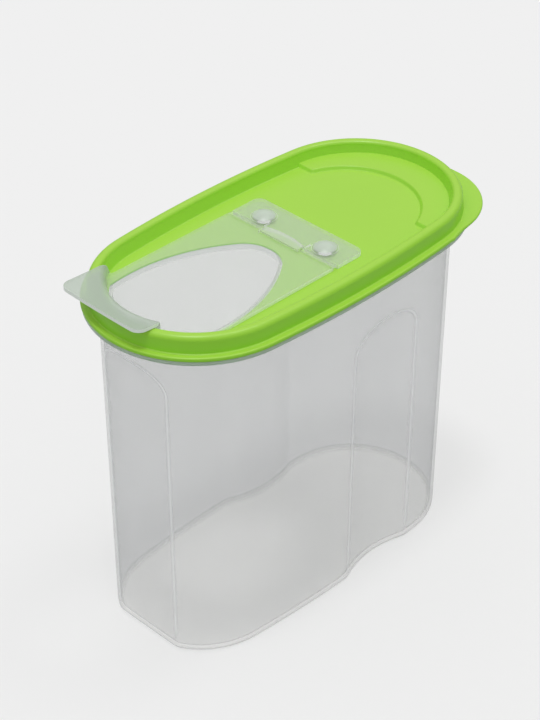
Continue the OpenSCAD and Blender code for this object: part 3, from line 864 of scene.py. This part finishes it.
def lid_mesh(lid, s, p):
    """Hollow bead, flange with its pull tab, recess floor and pour opening as one shell."""
    outline = Oval(lid["half_length"], lid["half_width"],
                   lid["half_width"] - lid["end_relief"], 128, 36)
    seat, flange_top = lid["seat"], lid["seat"] + lid["flange"]
    crest = seat + lid["bead_height"]
    floor_top = flange_top + lid["rise"]
    under = floor_top - lid["floor"]
    shoulder = crest - lid["bead_round"]
    soft = lid["bead_round"] + BEAD_SOFT
    outer = lid["bead_inset"] + BEAD_LEAN
    inner = outer + lid["bead_width"]
    recess = inner + lid["lean"]
    tabs = [soft_max(0.0, tab_extent(lid, nx, ny), TAB_SOFT) if nx > 0.15 else 0.0
            for x, y, nx, ny in outline.columns]
    lift = lid["flange"] - lid["tab"]

    def edge(out, z, low=False):
        """The flange's outline with the tab, moved outwards by out."""
        ring = []
        for (x, y, nx, ny), reach in zip(outline.columns, tabs):
            raised = lift * ease(reach / TAB_RAMP) if low else 0.0
            ring.append((x + nx * (out + reach), y + ny * (out + reach), z + raised))
        return ring

    leg = -inner - LEG
    cavity_in = -p["neck_inset"] - p["neck"] - NECK_GAP
    cavity_out = NECK_GAP - p["neck_inset"]
    roof = p["wall_height"] + p["rim"] + p["neck_height"] + NECK_GAP - CAVITY_ROUND
    section = [(-recess - FLOOR_START, under), (-recess - RECESS_FILLET, under), (leg - 0.2, under),
               (leg, under - 0.2), (leg, seat + CHAMFER), (leg + CHAMFER, seat),
               (cavity_in - CHAMFER, seat), (cavity_in, seat + CHAMFER), (cavity_in, roof)]
    section += arc(cavity_in + CAVITY_ROUND, roof, CAVITY_ROUND, 180, 90, 4)[1:]
    section += arc(cavity_out - CAVITY_ROUND, roof, CAVITY_ROUND, 90, 0, 4)
    section += [(cavity_out, seat + CHAMFER), (cavity_out + CHAMFER, seat)]
    rings = [outline.ring(out, z) for out, z in section]
    rings += [outline.ring(-3.0, seat)]
    rings += [edge(out, seat + rise, True) for out, rise in FLANGE_LOW]
    rings += [edge(out, flange_top + rise) for out, rise in FLANGE_HIGH]
    rings += [outline.ring(-lid["bead_inset"] + BEAD_FOOT + 0.15, flange_top)]
    section = arc(-lid["bead_inset"] + BEAD_FOOT, flange_top + BEAD_FOOT, BEAD_FOOT, 270, 182, 5)
    section += [(-outer, crest - soft)]
    section += arc(-outer - soft, crest - soft, soft, 0, 90, 12)[1:]
    section += arc(-inner + lid["bead_round"], shoulder, lid["bead_round"], 90, 180, 9)
    lean = math.atan2(lid["lean"], shoulder - floor_top)
    inset = RECESS_FILLET * (1 - math.sin(lean)) / math.cos(lean)
    section += arc(-recess - inset, floor_top + RECESS_FILLET, RECESS_FILLET,
                   -math.degrees(lean), -90, 5)
    section += [(-recess - RECESS_FILLET, floor_top), (-recess - FLOOR_START, floor_top)]
    rings += [outline.ring(out, z) for out, z in section]
    shell = Shell()
    ids = shell.rows(rings)

    def loop(points, z):
        return shell.add([(x, y, z) for x, y in points])

    edges = [(inwards, floor_top + rise) for inwards, rise in MOUTH_HIGH]
    edges += [(inwards, under + rise) for inwards, rise in MOUTH_LOW]
    rim = [loop(mouth_outline(s, lid, d), z) for d, z in edges]
    for first, second in zip(rim, rim[1:]):
        shell.strip(first, second)
    holes_top, holes_low = [rim[0]], [rim[-1]]
    for side in (-1, 1):
        circle = arc(peg_place(s), side * s["peg_y"], s["peg_radius"] + PEG_GAP, 0, 360, 40)[:-1]
        upper, lower = loop(circle, floor_top), loop(circle, under)
        shell.strip(upper, lower)
        holes_top.append(upper)
        holes_low.append(lower)
    shell.plane(ids[-1], holes_top)
    shell.plane(ids[0], holes_low)
    return shell


def step_mesh(lid):
    """Raised step around the rear of the recess, sunk a little into the floor and the bead."""
    low = lid["seat"] + lid["flange"] + lid["rise"]
    profile = [(-0.5, low - 0.7), (-0.45, low - 0.05)]
    profile += [(d, low + part * lid["step"]) for d, part in STEP_SLOPE]
    end_r = lid["half_width"] - lid["end_relief"]
    centre = lid["half_length"] - end_r
    rear = end_r - lid["bead_inset"] - lid["bead_width"] - 1.1
    bend_x = lid["step_x"] + STEP_CORNER
    bend_y = math.sqrt((lid["well_radius"] + STEP_CORNER) ** 2 - (bend_x - lid["well_x"]) ** 2)
    bend = math.degrees(math.atan2(bend_y, bend_x - lid["well_x"]))
    rings = []
    for d, z in profile:
        x0 = lid["step_x"] + d
        wall_y = math.sqrt(rear ** 2 - (x0 - centre) ** 2)
        side = [(x0, wall_y - (wall_y - bend_y) * i / 4) for i in range(4)]
        side += arc(bend_x, bend_y, STEP_CORNER - d, 180, 180 + bend, 8)
        path = side + arc(lid["well_x"], 0, lid["well_radius"] + d, bend, -bend, 72)[1:-1]
        path += [(x, -y) for x, y in reversed(side)]
        a = math.degrees(math.atan2(wall_y, x0 - centre))
        path += arc(centre, 0, rear, -a, a, 90)[1:-1]
        rings.append([(x, y, z) for x, y in path])
    shell = Shell()
    ids = shell.rows(rings)
    shell.cap(ids[0], flip=True)
    shell.cap(ids[-1])
    return shell


# ---------------------------------------------------------------- spout

Levels = namedtuple("Levels", "recess under top film")

RIB_ROOT = 0.9
RIB_CORNER = (0.35, 0.1)
NOTCH = 1.6


def spout_levels(lid, s):
    """Heights of the recess floor, of the flap's two faces and of the films' top."""
    recess = lid["seat"] + lid["flange"] + lid["rise"]
    under = recess + s["seat_gap"]
    top = under + s["plate"]
    return Levels(recess, under, top, top - s["groove_depth"])


def slab(outline, z0, z1):
    """A flat plate from its outline."""
    shell = Shell()
    low = shell.add([(x, y, z0) for x, y in outline])
    top = shell.add([(x, y, z1) for x, y in outline])
    shell.strip(low, top)
    shell.cap(low, flip=True)
    shell.cap(top)
    return shell


def flap_plate(lid, s):
    """The flap's plate: round at the front, notched at the rear for the strap."""
    centre = lid["half_length"] - (lid["half_width"] - lid["end_relief"])
    radius = recess_radius(lid) - s["front_gap"]
    half = s["half_width"]
    rear = s["hinge_x"] - s["groove"] / 2
    slit = s["strap_half"] + s["strap_gap"]
    notch = rear - NOTCH
    a = math.degrees(math.asin(half / radius))
    outline = arc(-centre, 0, radius, 180 - a, 180 + a, 64)
    outline += [(rear, -half), (rear, -slit), (notch, -slit), (notch, slit), (rear, slit), (rear, half)]
    level = spout_levels(lid, s)
    return slab(outline, level.under, level.top)


def rib_ring(lid, s):
    """Sealing rib under the flap; its top is sunk into the plate."""
    under = spout_levels(lid, s).under
    near, far = s["rib_gap"], s["rib_gap"] + s["rib"]
    low, high = under - s["rib_depth"], under + RIB_ROOT
    section = [(near, high)] + rounded(near, low, RIB_CORNER, UP, RIGHT)
    section += rounded(far, low, RIB_CORNER, LEFT, UP) + [(far, high)]
    shell = Shell()
    rings = [[(x, y, z) for x, y in mouth_outline(s, lid, d)] for d, z in section]
    ids = shell.rows(rings)
    shell.strip(ids[-1], ids[0])
    return shell


def along(path, share_at):
    """The point at a share of a path's length."""
    runs = [math.dist(a, b) for a, b in zip(path, path[1:])]
    goal = share_at * sum(runs)
    for (a, b), run in zip(zip(path, path[1:]), runs):
        if goal <= run or (a, b) == (path[-2], path[-1]):
            k = min(1.0, goal / run)
            return (a[0] + (b[0] - a[0]) * k, a[1] + (b[1] - a[1]) * k)
        goal -= run
    return path[-1]


LIP_NEAR = 23.2
LIP_ROOT = 182.0
LIP_LEAN = math.radians(12.0)
VISOR_SLOPE = math.tan(math.radians(3.8))
VISOR_GRID = (56, 12)
# Sections of the lip's two faces where they leave the flap, from the lip's foot
LIP_FOOT_INSIDE = ((-1.1, -0.5), (-1.0, -0.02), (-0.42, 0.12), (0.0, 0.5))
LIP_FOOT_OUTSIDE = ((0.6, 0.4), (0.9, 0.2))


def lip_mesh(lid, s):
    """Pull lip: an upright wall on an arc, folded outwards into a visor with a straight
    front edge and two round corners."""
    centre = lid["half_length"] - (lid["half_width"] - lid["end_relief"])
    level = spout_levels(lid, s)
    inner = recess_radius(lid) - s["lip_gap"] - s["lip"]
    outer = inner + s["lip"] / math.cos(LIP_LEAN)
    half, corner = s["half_width"], s["visor_corner"]
    front = s["visor_inset"] - lid["half_length"]
    top = s["visor_z"] + s["lip"]
    fold = s["fold"]
    fold_z = top - fold
    slant = math.tan(LIP_LEAN)
    fold_r = (inner + fold * math.cos(LIP_LEAN)
              + (fold_z + fold * math.sin(LIP_LEAN) - level.under) * slant)

    def at(radius, k):
        """The point at a share of the lip's arc."""
        far = math.degrees(math.asin(min(1.0, half / radius)))
        a = math.radians(LIP_NEAR + k * (-far - LIP_NEAR))
        return (-centre - radius * math.cos(a), -radius * math.sin(a))

    near_c = (front + corner, corner - s["visor_near"])
    n = at(fold_r - fold + s["lip"], 0.0)
    edge_a = math.degrees(math.atan2(n[1] - near_c[1] + corner, n[0] - near_c[0]))
    turn = (270 + edge_a + 180) / 2
    start = fold_r + 0.3
    near_side = [at(start, 0.0)] + arc(*near_c, corner, 270 + edge_a, turn, 6)
    far_side = [at(start, 1.0)] + arc(front + corner, half - corner, corner, 90, 135, 6)
    front_edge = (arc(*near_c, corner, turn, 180, 6)
                  + arc(front + corner, half - corner, corner, 180, 135, 6))
    columns, depth = VISOR_GRID

    def patch(k, f):
        """A point of the visor between its four edges."""
        base, tip = at(start, k), along(front_edge, k)
        low, high = along(near_side, f), along(far_side, f)
        corners = [at(start, 0.0), at(start, 1.0), front_edge[0], front_edge[-1]]
        xy = []
        for i in (0, 1):
            ruled = (1 - f) * base[i] + f * tip[i] + (1 - k) * low[i] + k * high[i]
            twist = ((1 - k) * (1 - f) * corners[0][i] + k * (1 - f) * corners[1][i]
                     + (1 - k) * f * corners[2][i] + k * f * corners[3][i])
            xy.append(ruled - twist)
        return xy

    def height(x, y):
        """How far the visor has risen from its fold."""
        return (math.hypot(x + centre, y) - fold_r) * VISOR_SLOPE

    shares = [i / columns for i in range(columns + 1)]
    foot = inner + s["plate"] * slant
    inside = [(foot + r, level.top + z) for r, z in LIP_FOOT_INSIDE]
    inside += [(foot + 1.1 * slant, level.top + 1.1)]
    end = 180 - math.degrees(LIP_LEAN)
    inside += arc(fold_r, fold_z, fold, end, 90, 9)
    outside = [(inner + r, level.under + z) for r, z in LIP_FOOT_OUTSIDE]
    outside += [(outer - 0.25, level.under + 0.2), (outer, level.under + 0.35),
                (outer + 0.8 * slant, level.under + 0.8)]
    outside += arc(fold_r, fold_z, fold - s["lip"], end, 90, 9)
    upper, lower = [], []
    for r, z in inside:
        upper.append([(*at(r, k), z) for k in shares])
    for r, z in outside:
        lower.append([(*at(r, k), z) for k in shares])
    for j in range(depth + 1):
        f = j / depth
        points = [patch(k, f) for k in shares]
        upper.append([(x, y, top + height(x, y)) for x, y in points])
        lower.append([(x, y, top - s["lip"] + height(x, y)) for x, y in points])
    shell = Shell()
    shell.join_sheets(shell.rows(upper, closed=False), shell.rows(lower, closed=False))
    return shell


def strap_rear(s, y):
    """Where the strap's bowed rear edge lies at a place across it."""
    bow = s["strap_bow"]
    return s["hinge_x"] + s["groove"] / 2 + s["strap_depth"] - bow + math.sqrt(bow ** 2 - y ** 2)


def hinge_plate_mesh(lid, s):
    """The plate behind the groove, cut back at the front for the bowed strap."""
    front = s["hinge_x"] + s["groove"] / 2
    rear = front + s["plate_length"]
    half, corner = s["half_width"], s["plate_corner"]
    slit = s["strap_half"] + s["strap_gap"]
    outline = [(front, -half)]
    outline += arc(rear - corner, corner - half, corner, -90, 0, 8)
    outline += arc(rear - corner, half - corner, corner, 0, 90, 8)
    outline += [(front, half), (front, slit)]
    outline += [(strap_rear(s, y), y) for y in steps(slit, -slit, 24)]
    outline += [(front, -slit)]
    level = spout_levels(lid, s)
    return slab(outline, level.recess + 0.02, level.top)


PEG_COLUMNS = 48
HEAD_FOOT = 0.5
BARB = 0.5


def peg_mesh(lid, s, side):
    """Domed head, shank and barb of one peg, turned as one piece."""
    level = spout_levels(lid, s)
    top, under = level.top, level.recess - lid["floor"]
    head, rise, shank = s["dome_radius"], s["dome_height"], s["peg_radius"]
    ball = (head * head + rise * rise) / (2 * rise)
    spread = math.degrees(math.asin(head / ball))
    profile = arc(0, top + rise - ball, ball, 90, 90 - spread, 9)[1:-1]
    profile += [(head - 0.12, top + 0.35), (head + 0.15, top + 0.12), (head + HEAD_FOOT, top + 0.02),
                (head + HEAD_FOOT, top - 0.5), (shank, top - 0.5), (shank, under - 0.1),
                (shank + BARB, under - 0.12), (shank + BARB, under - 0.25), (shank - 0.4, under - 1.3)]
    x0, y0 = peg_place(s), side * s["peg_y"]
    rings = [[(x, y, z) for x, y in arc(x0, y0, r, 0, 360, PEG_COLUMNS)[:-1]] for r, z in profile]
    shell = Shell()
    ids = shell.rows(rings)
    shell.cap(ids[-1])
    tip = shell.add([(x0, y0, top + rise)])[0]
    for i in range(PEG_COLUMNS):
        shell.faces.append((ids[0][i], ids[0][(i + 1) % PEG_COLUMNS], tip))
    return shell


def slit_bead(x0, x1, y, z, r):
    """A small raised bead beside a slit, with round ends."""
    half = [(x0 - 0.9 * r, 0.35), (x0 - 0.5 * r, 0.8), (x0, 1.0)]
    sections = half + [(x0 + x1 - x, k) for x, k in reversed(half)]
    rings = [[(x, y + dy, z + dz) for dy, dz in arc(0, 0, r * k, 0, 360, 14)[:-1]]
             for x, k in sections]
    shell = Shell()
    ids = shell.rows(rings)
    shell.cap(ids[0], flip=True)
    shell.cap(ids[-1])
    return shell


def web_mesh(lid, s, side):
    """Thin film over the groove on one side of the strap."""
    film = spout_levels(lid, s).film
    across = steps(side * (s["strap_half"] + s["strap_gap"]), side * s["half_width"], 14)
    over = steps(s["hinge_x"] - s["groove"] / 2, s["hinge_x"] + s["groove"] / 2, 10)
    shell = Shell()
    sheets = [shell.rows([[(x, y, z) for y in across] for x in over], closed=False)
              for z in (film, film - s["film"])]
    shell.join_sheets(*sheets)
    return shell


STRAP_FRONT = 2.3
STRAP_RIDGE = 1.6
STRAP_RISE = 1.5
STRAP_ROWS = 36


def strap_mesh(lid, s):
    """Snap strap: a sloping facet towards the flap with a hollow crescent behind it."""
    front = s["hinge_x"] - STRAP_FRONT
    ridge = s["hinge_x"] + STRAP_RIDGE
    base = spout_levels(lid, s).film - s["film"]
    crest = base + STRAP_RISE
    tops, lows = [], []
    for y in steps(-s["strap_half"], s["strap_half"], STRAP_ROWS):
        rear = strap_rear(s, y)
        run = rear - ridge
        hollow = ease(run / 1.5)
        line = [(front, crest - 0.75), (front + 0.15, crest - 0.6), (ridge - 0.5, crest - 0.12),
                (ridge - 0.15, crest - 0.03), (ridge + 0.1, crest - 0.12),
                (ridge + 0.25 * run, crest - 0.12 - 0.35 * hollow),
                (ridge + 0.6 * run, crest - 0.2 - 0.4 * hollow),
                (rear - 0.1, crest - 0.45), (rear, crest - 0.6)]
        tops.append([(x, y, z) for x, z in line])
        lows.append([(x, y, base) for x, z in line])
    shell = Shell()
    shell.join_sheets(shell.rows(tops, closed=False), shell.rows(lows, closed=False))
    return shell


# ---------------------------------------------------------------- masks of the spout

# A face whose normal's height is under the first is a wall, and over the second is flat
UPRIGHT = 0.5
NEARLY_FLAT = 0.97
BEAD_RUN = (0.6, 3.6)
BEAD_SINK = 0.2
# Strengths of the painted highlight and glow on the hinge plate's beads, sides, groove and round edges
BEAD_WHITE = 0.4
SIDE_WHITE = 0.6
GROOVE_WHITE = 0.25
ROUND_WHITE = 0.25
PLATE_BULK = 0.15
HEAD_BULK = 1.5
HEAD_TINT = 0.9
HEAD_FADE = 1.3


def mask_hinge_plate(plate, s, level):
    """Painted highlight and glow on beads and edges, and pegs' heads that are milky because they are
    thick.
    """
    front = s["hinge_x"] + s["groove"] / 2
    peg_x = peg_place(s)
    slit_y = s["strap_half"] + s["strap_gap"] + s["slit_bead"]

    def from_peg(x, y):
        return math.hypot(x - peg_x, abs(y) - s["peg_y"])

    def head(x, y):
        return ease((s["dome_radius"] + 0.2 - from_peg(x, y)) / HEAD_FADE)

    def raised_head(x, y, z):
        return head(x, y) if z > level.top + 0.05 else 0.0

    # Painted highlight: how much each face is whitened and glows
    def white(x, y, z, nz):
        plain = head(x, y) == 0.0
        on_bead = (abs(abs(y) - slit_y) < 0.5 and x < front + BEAD_RUN[1] + 0.1
                   and z > level.top + 0.02)
        clear = from_peg(x, y) > s["dome_radius"] - 1.0
        upright = abs(nz) < UPRIGHT and clear and (z < level.top or plain)
        round_edge = UPRIGHT <= nz < NEARLY_FLAT and plain
        side = GROOVE_WHITE if x < front + 0.4 else SIDE_WHITE
        return max(BEAD_WHITE * on_bead, side * upright, ROUND_WHITE * round_edge)

    mask_by_face(plate, EDGE_HIGHLIGHT, white)
    mask_by_place(plate, THICK, lambda x, y, z: max(PLATE_BULK, HEAD_BULK * raised_head(x, y, z)))
    mask_by_place(plate, TINTED, lambda x, y, z: HEAD_TINT * raised_head(x, y, z))


# Strengths of the painted highlight and glow on the strap, rib, visor and flap sides; the bulks are
# thickness
STRAP_WHITE = 0.1
STRAP_BULK = 0.2
RIB_WHITE = 0.7
RIB_BULK = 0.8
VISOR_WHITE = 0.8
FLAP_SIDE_WHITE = 0.5
LIP_BULK = 0.82
LIP_FADE = 5.0


def mask_flap(flap, s, level):
    """Painted highlight and glow on the rib and edges, and a lip that is milky because it is thick."""
    under = level.under - 0.05

    def white(x, y, z, nz):
        if z < under:
            return RIB_WHITE
        if abs(nz) < UPRIGHT and z > s["visor_z"]:
            return VISOR_WHITE
        if z >= LIP_ROOT:
            return 0.0
        if abs(nz) < UPRIGHT:
            return FLAP_SIDE_WHITE
        return ROUND_WHITE if UPRIGHT <= nz < NEARLY_FLAT else 0.0

    def lip(x, y, z):
        return ease((z - LIP_ROOT) / LIP_FADE)

    mask_by_face(flap, EDGE_HIGHLIGHT, white)
    mask_by_place(flap, THICK, lambda x, y, z: RIB_BULK if z < under else LIP_BULK * lip(x, y, z))
    mask_by_place(flap, TINTED, lip)


# ---------------------------------------------------------------- studio

FLOOR_HALF = 6000.0
FLOOR_DROP = 0.2
PAPER_ROUGH = 0.9
KEY_SPREAD, KEY_TOWARD = 10.0, (-0.15, -0.06, 1.0)
GLINT_SPREAD, GLINT_TOWARD = 14.0, (0.32, -0.12, 0.93)
CAMERA_PLACE = (-0.6048, -0.5916, 0.7136)
CAMERA_AZIMUTH = -45.3
CAMERA_ELEVATION = 35.33
CAMERA_SENSOR = 36.0
CAMERA_CLIP = (0.05, 50.0)


def seen_directly(tree):
    """1 where the camera or a clear surface looks, 0 for reflected and scattered light."""
    path = tree.nodes.new("ShaderNodeLightPath")
    return math_node(tree, "MAXIMUM", path.outputs["Is Camera Ray"],
                     path.outputs["Is Transmission Ray"])


def floor_material(stage):
    """Matt paper that looks nearly white and gives the object less light than that."""
    material = bpy.data.materials.new("studio_paper")
    material.use_nodes = True
    tree = material.node_tree
    shader = tree.nodes["Principled BSDF"]
    paper = mix_colour(tree, seen_directly(tree), [stage.bounce] * 3, stage.floor)
    set_inputs(tree, shader, {"Roughness": PAPER_ROUGH, "Specular IOR Level": 0.0,
                              "Base Color": paper})
    glow = add_node(tree, "Emission", {"Color": (*stage.floor, 1)})
    part = math_node(tree, "MULTIPLY", seen_directly(tree), stage.paper_glow)
    blend = add_node(tree, "MixShader", {0: part, 1: shader.outputs[0], 2: glow.outputs[0]})
    set_inputs(tree, tree.nodes["Material Output"], {"Surface": blend.outputs[0]})
    return material


def add_floor(stage):
    """A wide sheet of paper just under the container."""
    half = FLOOR_HALF
    shell = Shell()
    shell.cap(shell.add([(x, y, -FLOOR_DROP) for x, y in (
        (-half, -half), (half, -half), (half, half), (-half, half))]))
    floor = shell.piece("studio_floor")
    floor.data.materials.append(floor_material(stage))


def add_world(scene, stage):
    """Soft light that grows from the horizon to the sky, and a backdrop like the paper."""
    world = bpy.data.worlds.new("studio")
    scene.world = world
    world.use_nodes = True
    tree = world.node_tree
    tree.nodes.clear()
    toward = tree.nodes.new("ShaderNodeTexCoord")
    axes = add_node(tree, "SeparateXYZ", {0: toward.outputs["Generated"]})
    light = span(tree, axes.outputs["Z"], 0.0, 1.0, stage.horizon, stage.sky)
    even = add_node(tree, "Background", {"Color": (1, 1, 1, 1), "Strength": light})
    seen = add_node(tree, "Background", {"Color": (*stage.floor, 1), "Strength": 1.0})
    mix = add_node(tree, "MixShader", {0: seen_directly(tree), 1: even.outputs[0],
                                       2: seen.outputs[0]})
    add_node(tree, "OutputWorld", {"Surface": mix.outputs[0]})


def add_lamp(scene, name, energy, spread, toward):
    """A distant lamp, its spread in degrees and its place as a direction."""
    lamp = bpy.data.lights.new(name, "SUN")
    lamp.energy = energy
    lamp.angle = math.radians(spread)
    light = bpy.data.objects.new(name, lamp)
    light.rotation_euler = Vector(toward).to_track_quat("Z", "Y").to_euler()
    scene.collection.objects.link(light)


def add_camera(scene, stage):
    """The camera, in front of the spout's left side and above it."""
    lens = bpy.data.cameras.new("camera")
    lens.lens = stage.lens
    lens.sensor_width = CAMERA_SENSOR
    lens.clip_start, lens.clip_end = CAMERA_CLIP
    camera = bpy.data.objects.new("camera", lens)
    a, e = math.radians(CAMERA_AZIMUTH), math.radians(CAMERA_ELEVATION)
    back = Vector((math.sin(a) * math.cos(e), -math.cos(a) * math.cos(e), math.sin(e)))
    camera.location = CAMERA_PLACE
    camera.rotation_euler = (-back).to_track_quat("-Z", "Y").to_euler()
    scene.collection.objects.link(camera)
    scene.camera = camera


# ---------------------------------------------------------------- operators

class KEEPER_OT_stage(bpy.types.Operator):
    """Build the floor, the light and the camera"""
    bl_idname = "keeper.stage"
    bl_label = "Stage"

    def execute(self, context):
        scene = context.scene
        stage = scene.keeper_stage
        add_floor(stage)
        add_world(scene, stage)
        add_lamp(scene, "key", stage.key, KEY_SPREAD, KEY_TOWARD)
        add_lamp(scene, "crest", stage.glint, GLINT_SPREAD, GLINT_TOWARD)
        add_camera(scene, stage)
        scene.view_settings.view_transform = "Standard"
        return {"FINISHED"}


class KEEPER_OT_container(bpy.types.Operator):
    """Build the translucent container"""
    bl_idname = "keeper.container"
    bl_label = "Container"

    def execute(self, context):
        p = sizes_mm(context.scene.keeper_container)
        lid = sizes_mm(context.scene.keeper_lid)
        body = container_mesh(p, lid).piece("container_shell")
        shade(body, 50)
        dress(body, finish_material("milky_wall"), "container", "container")
        return {"FINISHED"}


class KEEPER_OT_lid(bpy.types.Operator):
    """Build the green lid with its bead, step and pull tab"""
    bl_idname = "keeper.lid"
    bl_label = "Lid"

    def execute(self, context):
        p = sizes_mm(context.scene.keeper_container)
        lid = sizes_mm(context.scene.keeper_lid)
        s = sizes_mm(context.scene.keeper_spout)
        piece = lid_mesh(lid, s, p).piece("lid_shell")
        unite(piece, [step_mesh(lid).piece("lid_step")])
        shade(piece)
        dress(piece, finish_material("satin_green"), "lid", "lid")
        return {"FINISHED"}


class KEEPER_OT_hinge(bpy.types.Operator):
    """Build the hinge plate with its pegs, the films and the snap strap"""
    bl_idname = "keeper.hinge"
    bl_label = "Hinge plate, films and strap"

    def execute(self, context):
        lid = sizes_mm(context.scene.keeper_lid)
        s = sizes_mm(context.scene.keeper_spout)
        natural = finish_material("milky_flap")
        level = spout_levels(lid, s)
        rear, front = s["hinge_x"] + s["groove"] / 2, s["hinge_x"] - s["groove"] / 2
        slit_y = s["strap_half"] + s["strap_gap"] + s["slit_bead"]
        start, end = (rear + run for run in BEAD_RUN)

        plate = hinge_plate_mesh(lid, s).piece("hinge_plate_moulding")
        bevel(plate, 0.45, 3)
        pegs = [peg_mesh(lid, s, side).piece("peg") for side in (-1, 1)]
        beads = [slit_bead(start, end, side * slit_y, level.top - BEAD_SINK,
                           s["slit_bead"]).piece("bead") for side in (-1, 1)]
        unite(plate, pegs + beads)
        mask_hinge_plate(plate, s, level)
        shade(plate)
        dress(plate, natural, "hinge_plate", "lid")

        films = web_mesh(lid, s, -1).piece("hinge_films")
        unite(films, [web_mesh(lid, s, 1).piece("film")])
        shade(films)
        dress(films, natural, "hinge_webs")
        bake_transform(films)

        strap = strap_mesh(lid, s).piece("snap_strap_moulding")
        mask_by_face(strap, EDGE_HIGHLIGHT, lambda x, y, z, nz: STRAP_WHITE)
        mask_by_face(strap, THICK, lambda x, y, z, nz: STRAP_BULK)
        shade(strap, 50)
        dress(strap, natural, "snap_strap", "lid")
        return {"FINISHED"}


class KEEPER_OT_flap(bpy.types.Operator):
    """Build the flap with its sealing rib and pull lip"""
    bl_idname = "keeper.flap"
    bl_label = "Flap"

    def execute(self, context):
        lid = sizes_mm(context.scene.keeper_lid)
        s = sizes_mm(context.scene.keeper_spout)
        flap = flap_plate(lid, s).piece("flap_moulding")
        bevel(flap, 0.35, 2)
        rib = rib_ring(lid, s).piece("rib")
        lip = lip_mesh(lid, s).piece("lip")
        bevel(lip, 0.5, 3, 60)
        unite(flap, [rib, lip])
        mask_flap(flap, s, spout_levels(lid, s))
        shade(flap, 50)
        dress(flap, finish_material("milky_flap"), "flap", "flap")
        return {"FINISHED"}


class KEEPER_PT_panel(bpy.types.Panel):
    """Lists the pieces and their settings"""
    bl_idname = "KEEPER_PT_panel"
    bl_label = "Cereal container"
    bl_space_type = "VIEW_3D"
    bl_region_type = "UI"
    bl_category = "Container"

    def draw(self, context):
        for operator in OPERATORS:
            self.layout.operator(operator.bl_idname)
        for name, group in SETTINGS:
            box = self.layout.box()
            box.label(text=group.__doc__)
            for key in group.__annotations__:
                box.prop(getattr(context.scene, name), key)


SETTINGS = (
    ("keeper_container", ContainerSizes),
    ("keeper_lid", LidSizes),
    ("keeper_spout", SpoutSizes),
    ("keeper_finish", FinishSettings),
    ("keeper_stage", StageSettings),
)
OPERATORS = (KEEPER_OT_stage, KEEPER_OT_container, KEEPER_OT_lid, KEEPER_OT_hinge, KEEPER_OT_flap)


def register():
    """Adds the settings, the operators and the panel."""
    for name, group in SETTINGS:
        bpy.utils.register_class(group)
        setattr(bpy.types.Scene, name, bpy.props.PointerProperty(type=group))
    for operator in OPERATORS:
        bpy.utils.register_class(operator)
    bpy.utils.register_class(KEEPER_PT_panel)


def unregister():
    """Takes them away again."""
    bpy.utils.unregister_class(KEEPER_PT_panel)
    for operator in reversed(OPERATORS):
        bpy.utils.unregister_class(operator)
    for name, group in reversed(SETTINGS):
        delattr(bpy.types.Scene, name)
        bpy.utils.unregister_class(group)


def main():
    """Builds the studio and the pieces."""
    register()
    bpy.ops.keeper.stage()
    bpy.ops.keeper.container()
    bpy.ops.keeper.lid()
    bpy.ops.keeper.hinge()
    bpy.ops.keeper.flap()


if __name__ == "__main__":
    main()
